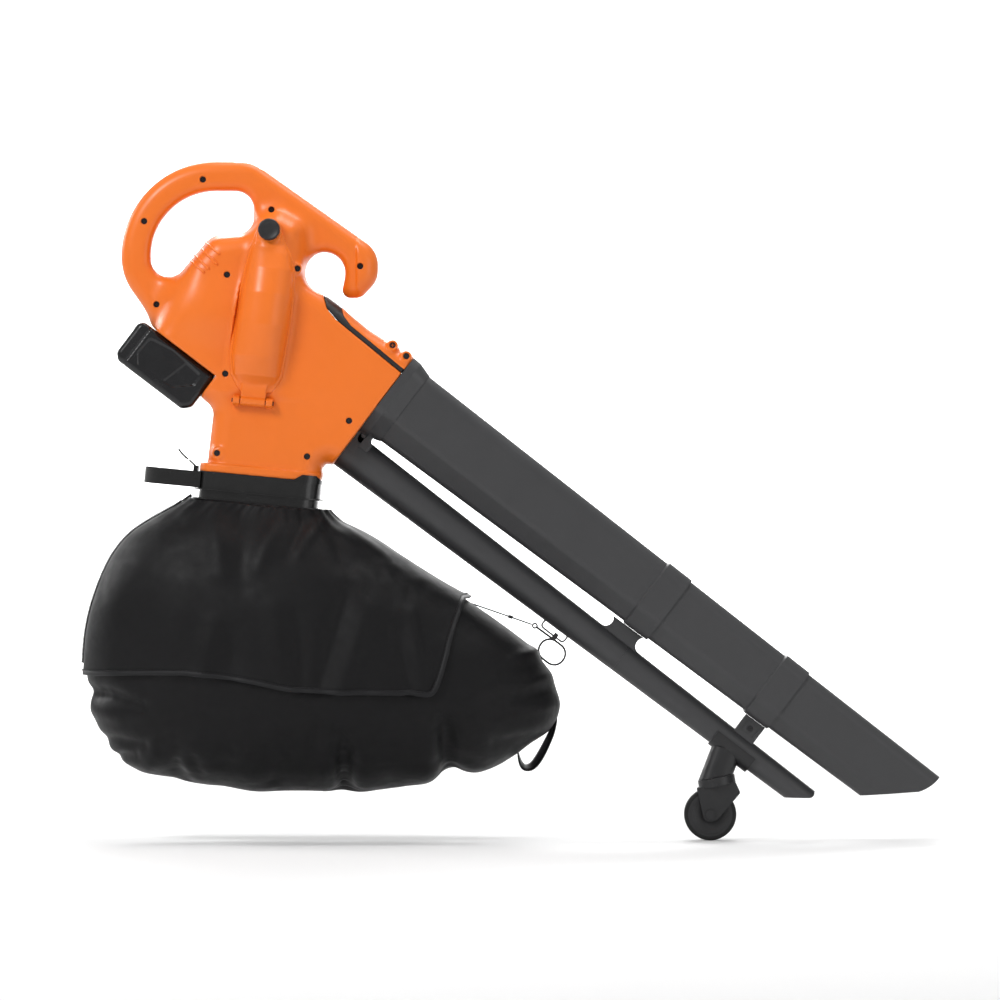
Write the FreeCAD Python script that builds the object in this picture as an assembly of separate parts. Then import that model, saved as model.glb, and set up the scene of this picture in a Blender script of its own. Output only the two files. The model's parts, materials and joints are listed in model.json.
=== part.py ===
"""Cordless leaf blower, vacuum and mulcher: one STEP file per piece, in millimetres.

Frame: +X towards the nozzle, +Y away from the side that carries the inspection cover, +Z up.
The origin is on the ground, under the middle of the machine's outline.
"""
import FreeCAD
import Part
import math
import os

from FreeCAD import Placement, Rotation, Vector

# ---------------------------------------------------------------- driving dimensions
TUBE_ANGLE = 37.3                 # slope of both tubes below the horizontal, degrees
JOINT = Vector(-159, 0, 573)      # suction tube axis where the tubes meet the housing
NECK_ANGLE = 5.5                  # tilt of the bag neck, the fan and the cover, degrees
NECK = Vector(-320, 0, 468)       # middle of the neck's lower rim
FAN = Vector(-316, 0, 672)        # middle of the impeller
WALL = 3.0                        # housing wall
SPINE = 17.0                      # half thickness of the spine and the hook
CORE = 56.0                       # half thickness of the main housing
GAP = 0.4                         # clearance between pieces that move apart
SPINE_EDGE, CORE_EDGE = 11.0, 14.0         # rounding of the spine and of the main housing
GRIP_CENTRE, GRIP_R, GRIP_TUBE = Vector(-378, 0, 751), 103.0, 19.0
HOOK_CENTRE, HOOK_R = Vector(-238.5, 0, 729.5), 24.5
SUCTION_START, SUCTION_END = 52.0, 40.0     # half heights of the suction tube
SUCTION_LENGTH = 864.0
SUCTION_WALL, BLOW_WALL = 2.2, 2.0
SEAT = 2.4                        # where a tube's end rests inside the sleeve before it
FIT = 0.05                        # clearance between pieces that are pushed together
BLOW_V = -86.8                    # blow tube axis below the suction tube axis
BLOW_START, BLOW_END, BLOW_LENGTH = 25.5, 15.3, 733.0
SLEEVE_1, SLEEVE_2, SLEEVE_LENGTH = 421.0, 613.0, 36.0
SLEEVE_STEP = 2.4                 # how far a sleeve stands out from its tube
BRIDGE_V = -57.0                  # middle of the gap between the two tubes
BATTERY_L, BATTERY_W, BATTERY_H = 118.0, 74.0, 60.0
BATTERY_U, BATTERY_V = -308.0, -114.0       # rear upper edge of the battery
RAIL_END = -214.0                           # forward end of the battery's rails
DOCK_END, DOCK_V = -187.5, -113.4           # forward end and roof of the battery dock
BAG_HALF_DEPTH = 130.0
BAG_WALL, FLAP_WALL = 2.0, 3.0
COLLAR_OUT, COLLAR_IN = (79, 60), (74, 55)  # half sizes of the bag collar
WHEEL_R, WHEEL_W = 33.5, 22.0
WHEEL = Vector(257.5, 0, WHEEL_R)
SWIVEL = Vector(265, 0, 81)       # middle of the joint between caster leg and fork
SWIVEL_TILT = 10.6                # lean of the swivel axis, degrees
SCREWS = [(-394.6, 849.3), (-470, 795.7), (-454, 688.8), (-362.2, 725.9), (-306.4, 810.5),
          (-272, 733.7), (-192.5, 737.9), (-364.4, 599.2), (-375, 497.7), (-259.8, 493.2),
          (-206, 539)]
CLAMP_SCREWS = [(-150.4, 635.8), (-132.8, 621.8)]
SCREW_WELL_R, SCREW_HEAD_R, SCREW_R = 4.2, 3.6, 1.75
SCREW_CORE_R = SCREW_R + 0.1      # the hole a screw's shank runs in
SCREW_DEPTH = 8                   # how far a housing screw sits below the surface

Y_AXIS = Vector(0, 1, 0)
TUBE = Placement(JOINT, Rotation(Y_AXIS, TUBE_ANGLE))        # local X along the tube, Z across it
NECK_FRAME = Placement(NECK, Rotation(Y_AXIS, NECK_ANGLE))
FAN_FRAME = Placement(FAN, Rotation(Y_AXIS, NECK_ANGLE))
SWIVEL_FRAME = Placement(SWIVEL, Rotation(Y_AXIS, -SWIVEL_TILT))
SWITCH_FRAME = Placement(Vector(-340, 0, 866), Rotation(Y_AXIS, 7))

parts = {}


# ---------------------------------------------------------------- helpers
def placed(shape, frame):
    """The shape, built in a local frame, moved to its place."""
    moved = shape.copy()
    moved.Placement = frame.multiply(moved.Placement)
    return moved


def at(frame, x, y, z):
    return frame.multVec(Vector(x, y, z))


def box(x0, x1, y0, y1, z0, z1):
    return Part.makeBox(x1 - x0, y1 - y0, z1 - z0, Vector(x0, y0, z0))


def cylinder(radius, start, end):
    axis = end - start
    return Part.makeCylinder(radius, axis.Length, start, axis)


def cone(r0, r1, start, end):
    axis = end - start
    return Part.makeCone(r0, r1, axis.Length, start, axis)


def ring(outer, inner, start, end):
    return cylinder(outer, start, end).cut(cylinder(inner, start, end))


def fuse(shapes):
    return shapes[0].multiFuse(shapes[1:]).removeSplitter()


def closed(edges):
    return Part.Wire(Part.__sortEdges__(edges))


def arc(a, b, c):
    """An arc from a over b to c, all (x, z) in the middle plane."""
    return Part.Arc(flat(a), flat(b), flat(c)).toShape()


def flat(p):
    return Vector(p[0], 0, p[1])


def line(a, b):
    return Part.makeLine(flat(a), flat(b))


def curve(points):
    """A smooth curve through (x, z) points in the middle plane."""
    spline = Part.BSplineCurve()
    spline.interpolate([flat(p) for p in points])
    return spline.toShape()


def plate(wires, half):
    """A face in the middle plane, extruded by half to both sides. The first wire is the outline."""
    face = Part.makeFace(wires, "Part::FaceMakerCheese")
    solid = face.extrude(Vector(0, 2 * half, 0))
    solid.translate(Vector(0, -half, 0))
    return solid


def polygon_prism(points, half):
    return plate([Part.makePolygon([flat(p) for p in points + points[:1]])], half)


def rounded(points, radii):
    """A closed wire of straight runs and tangent arcs through 3-D corner points in one plane."""
    count, edges, ends = len(points), [], []
    for i, corner in enumerate(points):
        before, after, radius = points[i - 1], points[(i + 1) % count], radii[i]
        a, b = (before - corner).normalize(), (after - corner).normalize()
        half = a.getAngle(b) / 2
        back = radius / math.tan(half)
        middle = (a + b).normalize() * (radius / math.sin(half) - radius)
        ends.append((corner + a * back, corner + middle, corner + b * back))
    for i, (start, middle, end) in enumerate(ends):
        edges.append(Part.Arc(start, middle, end).toShape())
        following = ends[(i + 1) % count][0]
        if (following - end).Length > 1e-6:
            edges.append(Part.makeLine(end, following))
    return Part.Wire(edges)


def oval(a, b, power, place, count=20):
    """A closed smooth wire on a superellipse of half sizes a and b. place maps (p, q) to a point."""
    points = []
    for i in range(count):
        t = 2 * math.pi * i / count
        p = a * math.copysign(abs(math.cos(t)) ** (2 / power), math.cos(t))
        q = b * math.copysign(abs(math.sin(t)) ** (2 / power), math.sin(t))
        points.append(place(p, q))
    spline = Part.BSplineCurve()
    spline.interpolate(points, PeriodicFlag=True)
    return Part.Wire(spline.toShape())


def loft(wires, ruled=False):
    return Part.makeLoft(wires, True, ruled)


def rim_fillet(solid, radius, half):
    """Rounds the edges of a plate where its outline meets its two flat sides."""
    edges = []
    for edge in solid.Edges:
        sides = {round(v.Y, 3) for v in edge.Vertexes}
        if len(sides) == 1 and abs(abs(sides.pop()) - half) < 0.01:
            edges.append(edge)
    return solid.makeFillet(radius, edges)


def surface_y(shape, x, z, sign=-1):
    """How far out the solid reaches along Y at (x, z)."""
    probe = Part.makeLine(Vector(x, 0, z), Vector(x, sign * 200, z)).common(shape)
    return abs(probe.BoundBox.YMin if sign < 0 else probe.BoundBox.YMax)


def export(name, shape):
    if not shape.isValid():
        shape.fix(0.01, 0.01, 0.01)
    parts[name] = shape


# ---------------------------------------------------------------- housing outline
STRIP_TOP, COVER_TOP = (-240, 705), (-218, 687)


def corner_wire(corners):
    """A rounded wire from (x, z, radius) corners in the middle plane."""
    return rounded([Vector(x, 0, z) for x, z, r in corners], [r for x, z, r in corners])


def spine_wire():
    """The rear grip, the straight spine and the open hook in one outline, closed inside the housing."""
    left, top, nose = GRIP_CENTRE.x - GRIP_R - GRIP_TUBE, GRIP_CENTRE.z + GRIP_R + GRIP_TUBE, -169
    hook_left, hook_right = HOOK_CENTRE.x - HOOK_R, HOOK_CENTRE.x + HOOK_R
    hook_top = HOOK_CENTRE.z + HOOK_R
    return corner_wire([
        (-459, 668, 14), (left, 726, 75), (left, top, GRIP_R + GRIP_TUBE), (-332, top, 38),
        (nose, 757.5, 36), (nose - 1, 720, 30), (-192, 697, 14), (-216, 699, 13),
        (hook_right, hook_top, HOOK_R - 0.8), (hook_left, hook_top, HOOK_R - 0.8),
        (hook_left, 680, 14), (-300, 640, 14), (-400, 630, 14)])


def grip_hole_wire():
    """The finger opening inside the rear grip."""
    inner = GRIP_R - GRIP_TUBE
    left, top = GRIP_CENTRE.x - inner, GRIP_CENTRE.z + inner
    return corner_wire([
        (left, top, inner), (-329.5, top, 24), (-329.5, 780, 22), (-383, 779, 30),
        (-427, 726, 18), (left, 726, 21)])


def core_wire(inset=0.0):
    """The wide part of the housing, drawn past the tube joint, the neck's end and the battery dock."""
    joint_out, joint_in = at(TUBE, 40, 0, 61), at(TUBE, 40, 0, -62)
    wire = corner_wire([
        (joint_out.x, joint_out.z, 16), (joint_in.x, joint_in.z, 16), (-240, 525, 18), (-242, 440, 18),
        (-392, 452, 18), (-380, 555, 18), (-420, 590, 18), (-462, 645, 18), (-424, 706, 60),
        (-413, 742, 30), (-382, 776, 30), (-338, 782, 30), (-300, 812, 20), (-266, 790, 18),
        (-266, 718, 20), (-232, 700, 30), (-182, 659, 60)])
    if inset:
        wire = wire.makeOffset2D(-inset)
    return wire


def beyond(inset):
    """What lies past the tube joint, below the neck and in the battery dock, moved in by a wall."""
    tube_side = placed(box(-inset, 200, -100, 100, -300, 200), TUBE)
    below = placed(box(-200, 200, -100, 100, -100, 0.4 + inset), NECK_FRAME)
    dock = placed(box(-400, DOCK_END + inset, -100, 100, -260, DOCK_V + inset), TUBE)
    return [tube_side, below, dock]


# ---------------------------------------------------------------- inspection cover shape
COVER_HINGE = Vector(-329, -(CORE + 7.5), 563)   # middle of the hinge pin
COVER_FRAME = Placement(COVER_HINGE, Rotation(Y_AXIS, NECK_ANGLE))
KNOB_S = 221.0                                   # from the hinge pin up to the knob
DOME = [(20, 2, 22, 5), (34, 1, 30, 17), (58, 0, 33.5, 29), (100, 3, 34, 38),
        (140, 5, 33, 37), (172, 5.5, 30, 28), (192, 4, 25, 18), (206, 2, 19, 9)]
DOME_BASE_Y = 7.5                                # the housing side, in the cover frame
DOME_POWER, DOME_WALL = 2.4, 2.5
COVER_BACK = DOME_BASE_Y - GAP                   # the cover's rear face
PIN_R, KNUCKLE_R = 2.5, 6.5
KNOB_R, KNOB_HEIGHT, KNOB_BOLT_R = 14.0, 12.0, 3.0


def dome(shrink=0.0):
    """The half-pipe over the impeller. Each section is (height, middle, half width, rise)."""
    wires = []
    for s, middle, half, rise in DOME:
        wires.append(oval(half - shrink, max(rise - shrink, 2), DOME_POWER,
                          lambda p, q, m=middle, h=s: Vector(m + p, DOME_BASE_Y - q, h)))
    return loft(wires)


# ---------------------------------------------------------------- housing
def housing():
    """The housing's full outer solid, and its hollow shell."""
    spine = rim_fillet(plate([spine_wire(), grip_hole_wire()], SPINE), SPINE_EDGE, SPINE)
    core = rim_fillet(plate([core_wire()], CORE), CORE_EDGE, CORE)
    grip = Part.makeTorus(GRIP_R, GRIP_TUBE, GRIP_CENTRE, Y_AXIS)
    blow_socket = placed(cylinder(27, Vector(-96, 0, -82), Vector(0, 0, -82)), TUBE)
    body = fuse([spine, core, grip, blow_socket]).cut(Part.makeCompound(beyond(0)))
    bulge = placed(mirrored_dome(0), FAR_DOME_FRAME)
    solid = fuse([body, placed(neck_flange(), NECK_FRAME), bulge])

    room = rim_fillet(plate([core_wire(WALL)], CORE - WALL), CORE_EDGE - WALL, CORE - WALL)
    room = room.cut(Part.makeCompound(beyond(WALL)))
    tunnel = Part.makeTorus(GRIP_R, GRIP_TUBE - WALL, GRIP_CENTRE, Y_AXIS)
    tunnel = tunnel.cut(Part.makeCompound(beyond(WALL)))
    hollow = room.multiFuse([
        tunnel, placed(cylinder(24.5, Vector(-100, 0, -82), Vector(1, 0, -82)), TUBE),
        placed(mirrored_dome(WALL), FAR_DOME_FRAME),
        placed(box(-60, 66, -CORE + 8, CORE - 8, -2, 30), NECK_FRAME),
        placed(box(-20, 1, -44, 44, -49, 52), TUBE)])
    shell = solid.cut(hollow)

    bosses = []
    for x, z in SCREWS:
        boss = cylinder(SCREW_WELL_R + 1.8, Vector(x, -CORE, z), Vector(x, CORE, z))
        bosses.append(boss.common(solid))
    shell = shell.multiFuse(bosses)

    cuts = [cylinder(HOOK_R, HOOK_CENTRE - Y_AXIS * 80, HOOK_CENTRE + Y_AXIS * 80),
            placed(dome_port(), COVER_FRAME), strip_region(), switch_recess(),
            placed(hump(GAP), NECK_FRAME), knob_insert_hole(), *dock_slots(), *vent_slots()]
    for x, z in SCREWS:
        seat = surface_y(solid, x, z) - SCREW_DEPTH
        cuts.append(cylinder(SCREW_WELL_R, Vector(x, -100, z), Vector(x, -seat, z)))
        cuts.append(cylinder(SCREW_CORE_R, Vector(x, -seat, z), Vector(x, 12, z)))
    shell = shell.cut(Part.makeCompound(cuts))
    shell = shell.multiFuse([placed(hinge_ears(), COVER_FRAME), vent_ribs().common(grip_hole_side())])
    shell = shell.cut(placed(pin_hole(), COVER_FRAME))
    return solid, shell


FAR_DOME_FRAME = Placement(Vector(COVER_HINGE.x, -COVER_HINGE.y, COVER_HINGE.z),
                           Rotation(Y_AXIS, NECK_ANGLE))


def dock_slots():
    """Two grooves in the dock's roof that take the battery's rails, open to the rear."""
    return [placed(box(-340, RAIL_END + 1, side * 17 - 3.5, side * 17 + 3.5, DOCK_V - 1, DOCK_V + 3.6), TUBE)
            for side in (-1, 1)]


def grip_hole_side():
    """The space around the vents, so that the louvres end at the motor's far side."""
    return plate([corner_wire([(-450, 700, 10), (-450, 800, 10), (-340, 800, 10), (-340, 700, 10)])], 100)


def mirrored_dome(shrink):
    """The same half-pipe on the far side, fixed to the housing."""
    return dome(shrink).mirror(Vector(0, 0, 0), Y_AXIS)


def dome_port():
    """The opening under the inspection cover, a wall's width inside its outline."""
    edges = []
    for s, middle, half, _ in DOME[1:-1]:
        edges.append((middle - half + 5, middle + half - 5, s))
    left = [Vector(a, 0, s) for a, _, s in edges]
    right = [Vector(b, 0, s) for _, b, s in reversed(edges)]
    face = Part.Face(Part.makePolygon(left + right + left[:1]))
    port = face.extrude(Vector(0, 30, 0))
    port.translate(Vector(0, -6, 0))
    return port


def strip_region():
    """The corner of the housing above the trim strip, which the trim and the clamp cover fill."""
    lower = strip_edge(0)
    top = (-190, 740)
    edges = lower + [line(lower_end(0), (-90, 640)), line((-90, 640), top), line(top, (-238, 712)),
                     line((-238, 712), STRIP_TOP)]
    return plate([closed(edges)], 80)


def lower_end(height):
    p = at(TUBE, 0.5, 0, 34 + height)
    return (p.x, p.z)


def strip_edge(height):
    """The strip's lower edge at height 0, or its upper edge at the strip's width."""
    if height == 0:
        return [curve([STRIP_TOP, (-235, 684), (-224, 669.5), (-207, 655.5)]),
                line((-207, 655.5), lower_end(0))]
    return [curve([COVER_TOP, (-214, 672), (-204, 659.5)]), line((-204, 659.5), lower_end(height))]


def switch_recess():
    return placed(box(-16, 16, -7, 7, -8, 12), SWITCH_FRAME)


def hump(extra=0.0):
    """The raised end of the bag collar, in the neck frame."""
    points = [(44 - extra, 0), (54 - extra, 7 + extra), (72 + extra, 7 + extra), (82 + extra, -1),
              (82 + extra, -4), (44 - extra, -4)]
    return polygon_prism(points, 62)


def neck_flange():
    """The band around the housing's neck that stands on the bag collar."""
    return loft([oval(79, 58, 5, lambda p, q, z=z: Vector(p - 2, q, z)) for z in (GAP, 11)])


def knob_insert_hole():
    p = at(COVER_FRAME, 0, 0, KNOB_S)
    return cylinder(5.6, Vector(p.x, -70, p.z), Vector(p.x, -30, p.z))


def hinge_ears():
    ears = []
    for x0, x1 in ((-26, -16.4), (16.4, 26)):
        ears.append(cylinder(KNUCKLE_R, Vector(x0, 0, 0), Vector(x1, 0, 0)))
        ears.append(box(x0, x1, 0, 9.0, -KNUCKLE_R, KNUCKLE_R))
    return ears[0].multiFuse(ears[1:])


def pin_hole():
    return cylinder(PIN_R + 0.06, Vector(-30, 0, 0), Vector(30, 0, 0))


VENT_FRAME = Placement(Vector(-398, 0, 758), Rotation(Y_AXIS, 35))


def vent_ribs():
    """Raised louvres at the motor's end, inside the grip opening."""
    ribs = []
    for i in range(4):
        offset = -18 + 11 * i
        ribs.append(placed(box(-2, 20, -30, 30, offset, offset + 3), VENT_FRAME))
    return ribs[0].multiFuse(ribs[1:])


def vent_slots():
    return [placed(box(-8, 14, -22, 22, -14 + 11 * i, -9 + 11 * i), VENT_FRAME) for i in range(3)]


def build_housing():
    solid, shell = housing()
    region = box(-600, 0, -400, 0, 300, 1000)
    left, right = shell.common(region), shell.common(region.mirror(Vector(0, 0, 0), Y_AXIS))
    export("housing_left", largest(left))
    export("housing_right", largest(right))
    screws = []
    for x, z in SCREWS:
        seat = surface_y(solid, x, z) - SCREW_DEPTH
        screws.append(cross_screw(Vector(x, -seat, z), seat + 10))
    export("housing_screws", Part.makeCompound(screws))
    return solid


def largest(shape):
    """The shape's largest solid, without crumbs."""
    return max(shape.Solids, key=lambda s: s.Volume)


def cross_screw(seat, length):
    """A pan-head screw whose head rests at seat and whose shank runs along +Y."""
    head = cylinder(SCREW_HEAD_R, seat - Y_AXIS * 2.6, seat)
    slot = Part.makeCompound([box(-2.2, 2.2, -5, -1.2, -0.5, 0.5), box(-0.5, 0.5, -5, -1.2, -2.2, 2.2)])
    slot.translate(seat)
    return head.cut(slot).fuse(cylinder(SCREW_R, seat, seat + Y_AXIS * length))


# ---------------------------------------------------------------- trim and clamp cover at the socket
def build_socket_top(solid):
    """The dark trim strip and the clamp cover that close the top of the tube socket."""
    bore = placed(box(-200, 40, -50, 50, -80, 53), TUBE)
    limit = placed(box(-200, -0.3, -90, 90, -150, 150), TUBE)
    top = strip_edge(0) + [line(lower_end(0), lower_end(5)), *strip_edge(5), line(COVER_TOP, STRIP_TOP)]
    strip = plate([closed(top)], CORE - 1)
    strip = strip.common(solid).cut(bore).common(limit)
    export("trim_strip", Part.makeCompound(strip.Solids))
    above = plate([closed(strip_edge(5) + [line(lower_end(5), (-100, 640)),
                                           line((-100, 640), (-180, 700)),
                                           line((-180, 700), COVER_TOP)])], 80)
    cover = above.common(solid).cut(bore).common(limit)
    wells = []
    screws = []
    for x, z in CLAMP_SCREWS:
        for side in (-1, 1):
            seat = surface_y(cover, x, z) - 5
            wells.append(cylinder(SCREW_WELL_R, Vector(x, side * 100, z), Vector(x, side * seat, z)))
            wells.append(cylinder(SCREW_CORE_R, Vector(x, side * seat, z), Vector(x, side * (seat - 11), z)))
            screw = cross_screw(Vector(0, 0, 0), 10)
            if side > 0:
                screw = screw.mirror(Vector(0, 0, 0), Y_AXIS)
            screw.translate(Vector(x, side * seat, z))
            screws.append(screw)
    export("tube_clamp_cover", cover.cut(Part.makeCompound(wells)))
    export("clamp_screws", Part.makeCompound(screws))


# ---------------------------------------------------------------- inspection cover, knob and hinge
def build_cover():
    shell = dome().cut(dome(DOME_WALL))
    shell = shell.common(box(-60, 60, -60, COVER_BACK, -10, 260))
    left = [Vector(middle - half - 2.5, 0, s) for s, middle, half, _ in DOME]
    right = [Vector(middle + half + 2.5, 0, s) for s, middle, half, _ in reversed(DOME)]
    rim = Part.Face(Part.makePolygon(left + right + left[:1])).extrude(Vector(0, 2.4, 0))
    rim.translate(Vector(0, COVER_BACK - 2.4, 0))
    rim = rim.cut(dome(DOME_WALL))
    tongue = box(-16, 16, COVER_BACK - 4, COVER_BACK, 0, 26)
    knuckle = cylinder(KNUCKLE_R, Vector(-16, 0, 0), Vector(16, 0, 0))
    boss = cylinder(KNOB_R + 1, knob_point(COVER_BACK - 9), knob_point(COVER_BACK))
    bridge = box(-13, 13, COVER_BACK - 6, COVER_BACK, 200, KNOB_S)
    cover = shell.multiFuse([rim, tongue, knuckle, boss, bridge])
    cover = cover.cut(cylinder(KNOB_BOLT_R + 1, knob_point(-40), knob_point(20))).cut(pin_hole())
    export("inspection_cover", largest(placed(cover, COVER_FRAME)))
    export("hinge_pin", placed(cylinder(PIN_R, Vector(-27, 0, 0), Vector(27, 0, 0)), COVER_FRAME))

    under = COVER_BACK - 9.3                     # underside of the knob, just off the boss
    knob = cylinder(KNOB_R, knob_point(under - KNOB_HEIGHT), knob_point(under))
    knob = knob.makeFillet(2, [e for e in knob.Edges if e.Vertexes[0].Y < under - KNOB_HEIGHT + 1])
    flutes = []
    for i in range(24):
        turn = Rotation(Y_AXIS, 15 * i).multVec(Vector(KNOB_R + 0.6, 0, 0))
        flutes.append(cylinder(1.3, knob_point(under - 20) + turn, knob_point(under + 5) + turn))
    knob = knob.cut(Part.makeCompound(flutes))
    bolt_top = under - 5.7
    knob = knob.cut(cylinder(KNOB_BOLT_R, knob_point(bolt_top), knob_point(under + 5)))
    export("cover_knob", placed(knob, COVER_FRAME))
    bolt = cylinder(KNOB_BOLT_R, knob_point(bolt_top), knob_point(DOME_BASE_Y + 8))
    collar = cylinder(KNOB_BOLT_R + 0.6, knob_point(COVER_BACK - 2), knob_point(COVER_BACK))
    export("knob_bolt", placed(bolt.fuse(collar), COVER_FRAME))
    insert = ring(5.5, 3.3, knob_point(DOME_BASE_Y + 0.6), knob_point(DOME_BASE_Y + 14))
    export("knob_insert", placed(insert, COVER_FRAME))


def knob_point(y):
    """A point on the knob's axis, in the cover frame."""
    return Vector(0, y, KNOB_S)


# ---------------------------------------------------------------- motor and impeller
def build_drive():
    """The motor lies along the fan axis, left of the impeller, which faces the suction tube."""
    shaft = cylinder(3, Vector(-92, 0, 0), Vector(24, 0, 0))
    rotor = cylinder(15, Vector(-84, 0, 0), Vector(-36, 0, 0))
    export("motor_rotor", placed(shaft.fuse(rotor), FAN_FRAME))
    can = cylinder(26, Vector(-90, 0, 0), Vector(-30, 0, 0))
    can = can.cut(cylinder(23.5, Vector(-87.5, 0, 0), Vector(-32.5, 0, 0)))
    can = can.cut(cylinder(8.05, Vector(-91, 0, 0), Vector(-29, 0, 0)))
    slots = [placed(box(-80, -70, -40, 40, -3, 3), Placement(Vector(), Rotation(Vector(1, 0, 0), a)))
             for a in (0, 60, 120)]
    export("motor_can", placed(can.cut(Part.makeCompound(slots)), FAN_FRAME))
    magnets = ring(23.4, 16.5, Vector(-66, 0, 0), Vector(-38, 0, 0))
    magnets = magnets.cut(box(-90, -30, -2, 2, -40, 40))
    export("motor_magnets", placed(magnets, FAN_FRAME))
    bearings = [ring(8, 3.05, Vector(x, 0, 0), Vector(x + 5, 0, 0)) for x in (-90, -35)]
    export("motor_bearings", placed(Part.makeCompound(bearings), FAN_FRAME))
    mount = cylinder(50, Vector(-29.5, 0, 0), Vector(-26.5, 0, 0)).cut(
        cylinder(9, Vector(-31, 0, 0), Vector(-25, 0, 0)))
    export("motor_mount_plate", placed(mount, FAN_FRAME))

    back = cylinder(80, Vector(-18, 0, 0), Vector(-15.5, 0, 0))
    hub = cone(20, 11, Vector(-15.5, 0, 0), Vector(14, 0, 0))
    blades = []
    for i in range(8):
        blade = box(-16, 16, -1.3, 1.3, 9, 79)
        blade.rotate(Vector(0, 0, 40), Vector(1, 0, 0), 18)
        blade.rotate(Vector(), Vector(1, 0, 0), 45 * i)
        blades.append(blade)
    limit = cylinder(80, Vector(-18, 0, 0), Vector(2, 0, 0)).fuse(
        cone(80, 44, Vector(2, 0, 0), Vector(16, 0, 0)))
    wheel = back.multiFuse([hub, *[b.common(limit) for b in blades]])
    wheel = wheel.cut(cylinder(3, Vector(-20, 0, 0), Vector(20, 0, 0)))
    export("impeller", placed(wheel, FAN_FRAME))
    corners = [Vector(14, 6 * math.cos(math.pi * i / 3), 6 * math.sin(math.pi * i / 3)) for i in range(7)]
    nut = Part.Face(Part.makePolygon(corners)).extrude(Vector(5, 0, 0))
    export("impeller_nut", placed(nut.cut(cylinder(3, Vector(10, 0, 0), Vector(30, 0, 0))), FAN_FRAME))

    inlet = cylinder(50, Vector(20, 0, 0), Vector(22.5, 0, 0)).cut(
        cylinder(40, Vector(19, 0, 0), Vector(24, 0, 0)))
    export("inlet_ring", placed(inlet, FAN_FRAME))
    duct = cone(46, 43, Vector(-4, 0, 0), Vector(-88, 0, 0)).cut(
        cone(44, 41, Vector(-3.9, 0, 0), Vector(-88.1, 0, 0)))
    export("inlet_duct", placed(duct, TUBE))


# ---------------------------------------------------------------- switch and electronics
def build_switch():
    slider = box(-13, 5, -5.5, 5.5, -3.6, 1.6)
    slider = slider.makeFillet(1.2, [e for e in slider.Edges if all(v.Z > 0 for v in e.Vertexes)])
    ridges = [cylinder(0.6, Vector(x, -4.5, 1.6), Vector(x, 4.5, 1.6)) for x in (-10, -7, -4, -1, 2)]
    export("power_switch", placed(slider.multiFuse(ridges), SWITCH_FRAME))
    export("switch_block", placed(box(-15, 15, -6.4, 6.4, -7.6, -4.1), SWITCH_FRAME))
    board = box(-18, 18, -28, 28, 0, 1.6)
    chip, heat_sink = box(-12, -4, -20, -8, 1.6, 5), box(2, 12, -16, 16, 1.6, 7)
    capacitor = cylinder(4, Vector(-8, 14, 1.6), Vector(-8, 14, 12))
    over_dock = TUBE.multiply(Placement(Vector(-232, 0, -93), Rotation()))
    export("control_board", placed(board.multiFuse([chip, heat_sink, capacitor]), over_dock))
    in_dock = TUBE.multiply(Placement(Vector(-232, 0, -104), Rotation()))
    export("battery_terminals", placed(box(-24, 24, -16, 16, 0, 8), in_dock))


# ---------------------------------------------------------------- battery
def build_battery():
    """The pack hangs under the dock and slides out to the rear, along the tube direction."""
    u0, v0 = BATTERY_U, BATTERY_V
    low = v0 - BATTERY_H
    points = [(u0, v0 - 0.5), (u0 + 2, low + 14), (u0 + 12, low), (u0 + BATTERY_L - 10, low + 1),
              (u0 + BATTERY_L + 2, low + 12), (u0 + BATTERY_L - 4, v0 - 8), (u0 + BATTERY_L - 12, v0 - 0.5)]
    radii = [6, 8, 8, 6, 6, 6, 5]
    wire = rounded([Vector(u, 0, v) for u, v in points], radii)
    body = plate([wire], BATTERY_W / 2)
    body = rim_fillet(body, 7, BATTERY_W / 2)
    hollow = plate([wire.makeOffset2D(-3)], BATTERY_W / 2 - 3.5)
    case = body.cut(hollow)
    split = low + BATTERY_H * 0.72
    upper = case.common(box(-400, 0, -60, 60, split, 0))
    lower = case.common(box(-400, 0, -60, 60, -300, split))
    panel = box(u0 + 24, u0 + 92, -60, -BATTERY_W / 2 + 1.2, low + 12, low + 42)
    export("battery_case", placed(lower.cut(panel), TUBE))
    button_hole = box(u0 - 5, u0 + 14, -14, 14, v0 - 17, v0 - 6)
    upper = upper.cut(button_hole).cut(panel)
    rail = [box(u0 + 20, RAIL_END, side * 17 - 3, side * 17 + 3, v0 - 1, v0 + 3.6) for side in (-1, 1)]
    export("battery_lid", placed(upper.multiFuse(rail), TUBE))
    cells = []
    for row in range(2):
        for i in range(5):
            u, v = u0 + 17 + 21 * i, low + 16 + 20.5 * row
            cells.append(cylinder(9.2, Vector(u, -33, v), Vector(u, 33, v)))
    export("battery_cells", placed(Part.makeCompound(cells), TUBE))
    button = box(u0 - 1.5, u0 + 6.5, -13.4, 13.4, v0 - 16.4, v0 - 6.6)
    button = button.makeFillet(1.5, [e for e in button.Edges if all(v.X < u0 for v in e.Vertexes)])
    export("battery_button", placed(button, TUBE))


# ---------------------------------------------------------------- tubes
def suction_section(u, grow=0.0):
    """The suction tube's section at u: flat sides, a rounded roof and bevelled lower edges."""
    share = u / SUCTION_LENGTH
    top = SUCTION_START + (SUCTION_END - SUCTION_START) * share + grow
    side = 47 - 9 * share + grow
    shoulder = -20 - 2 * share
    keel = 26 - 2 * share + grow * 0.4
    points = [(-side, top), (side, top), (side, shoulder), (keel, -top), (-keel, -top), (-side, shoulder)]
    radii = [16, 16, 14, 12, 12, 14]
    return rounded([Vector(u, y, v) for y, v in points], [r + grow for r in radii])


def suction_loft(stations):
    """A solid through the tube's sections, from (u, growth) stations."""
    return loft([suction_section(u, grow) for u, grow in stations], True)


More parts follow.
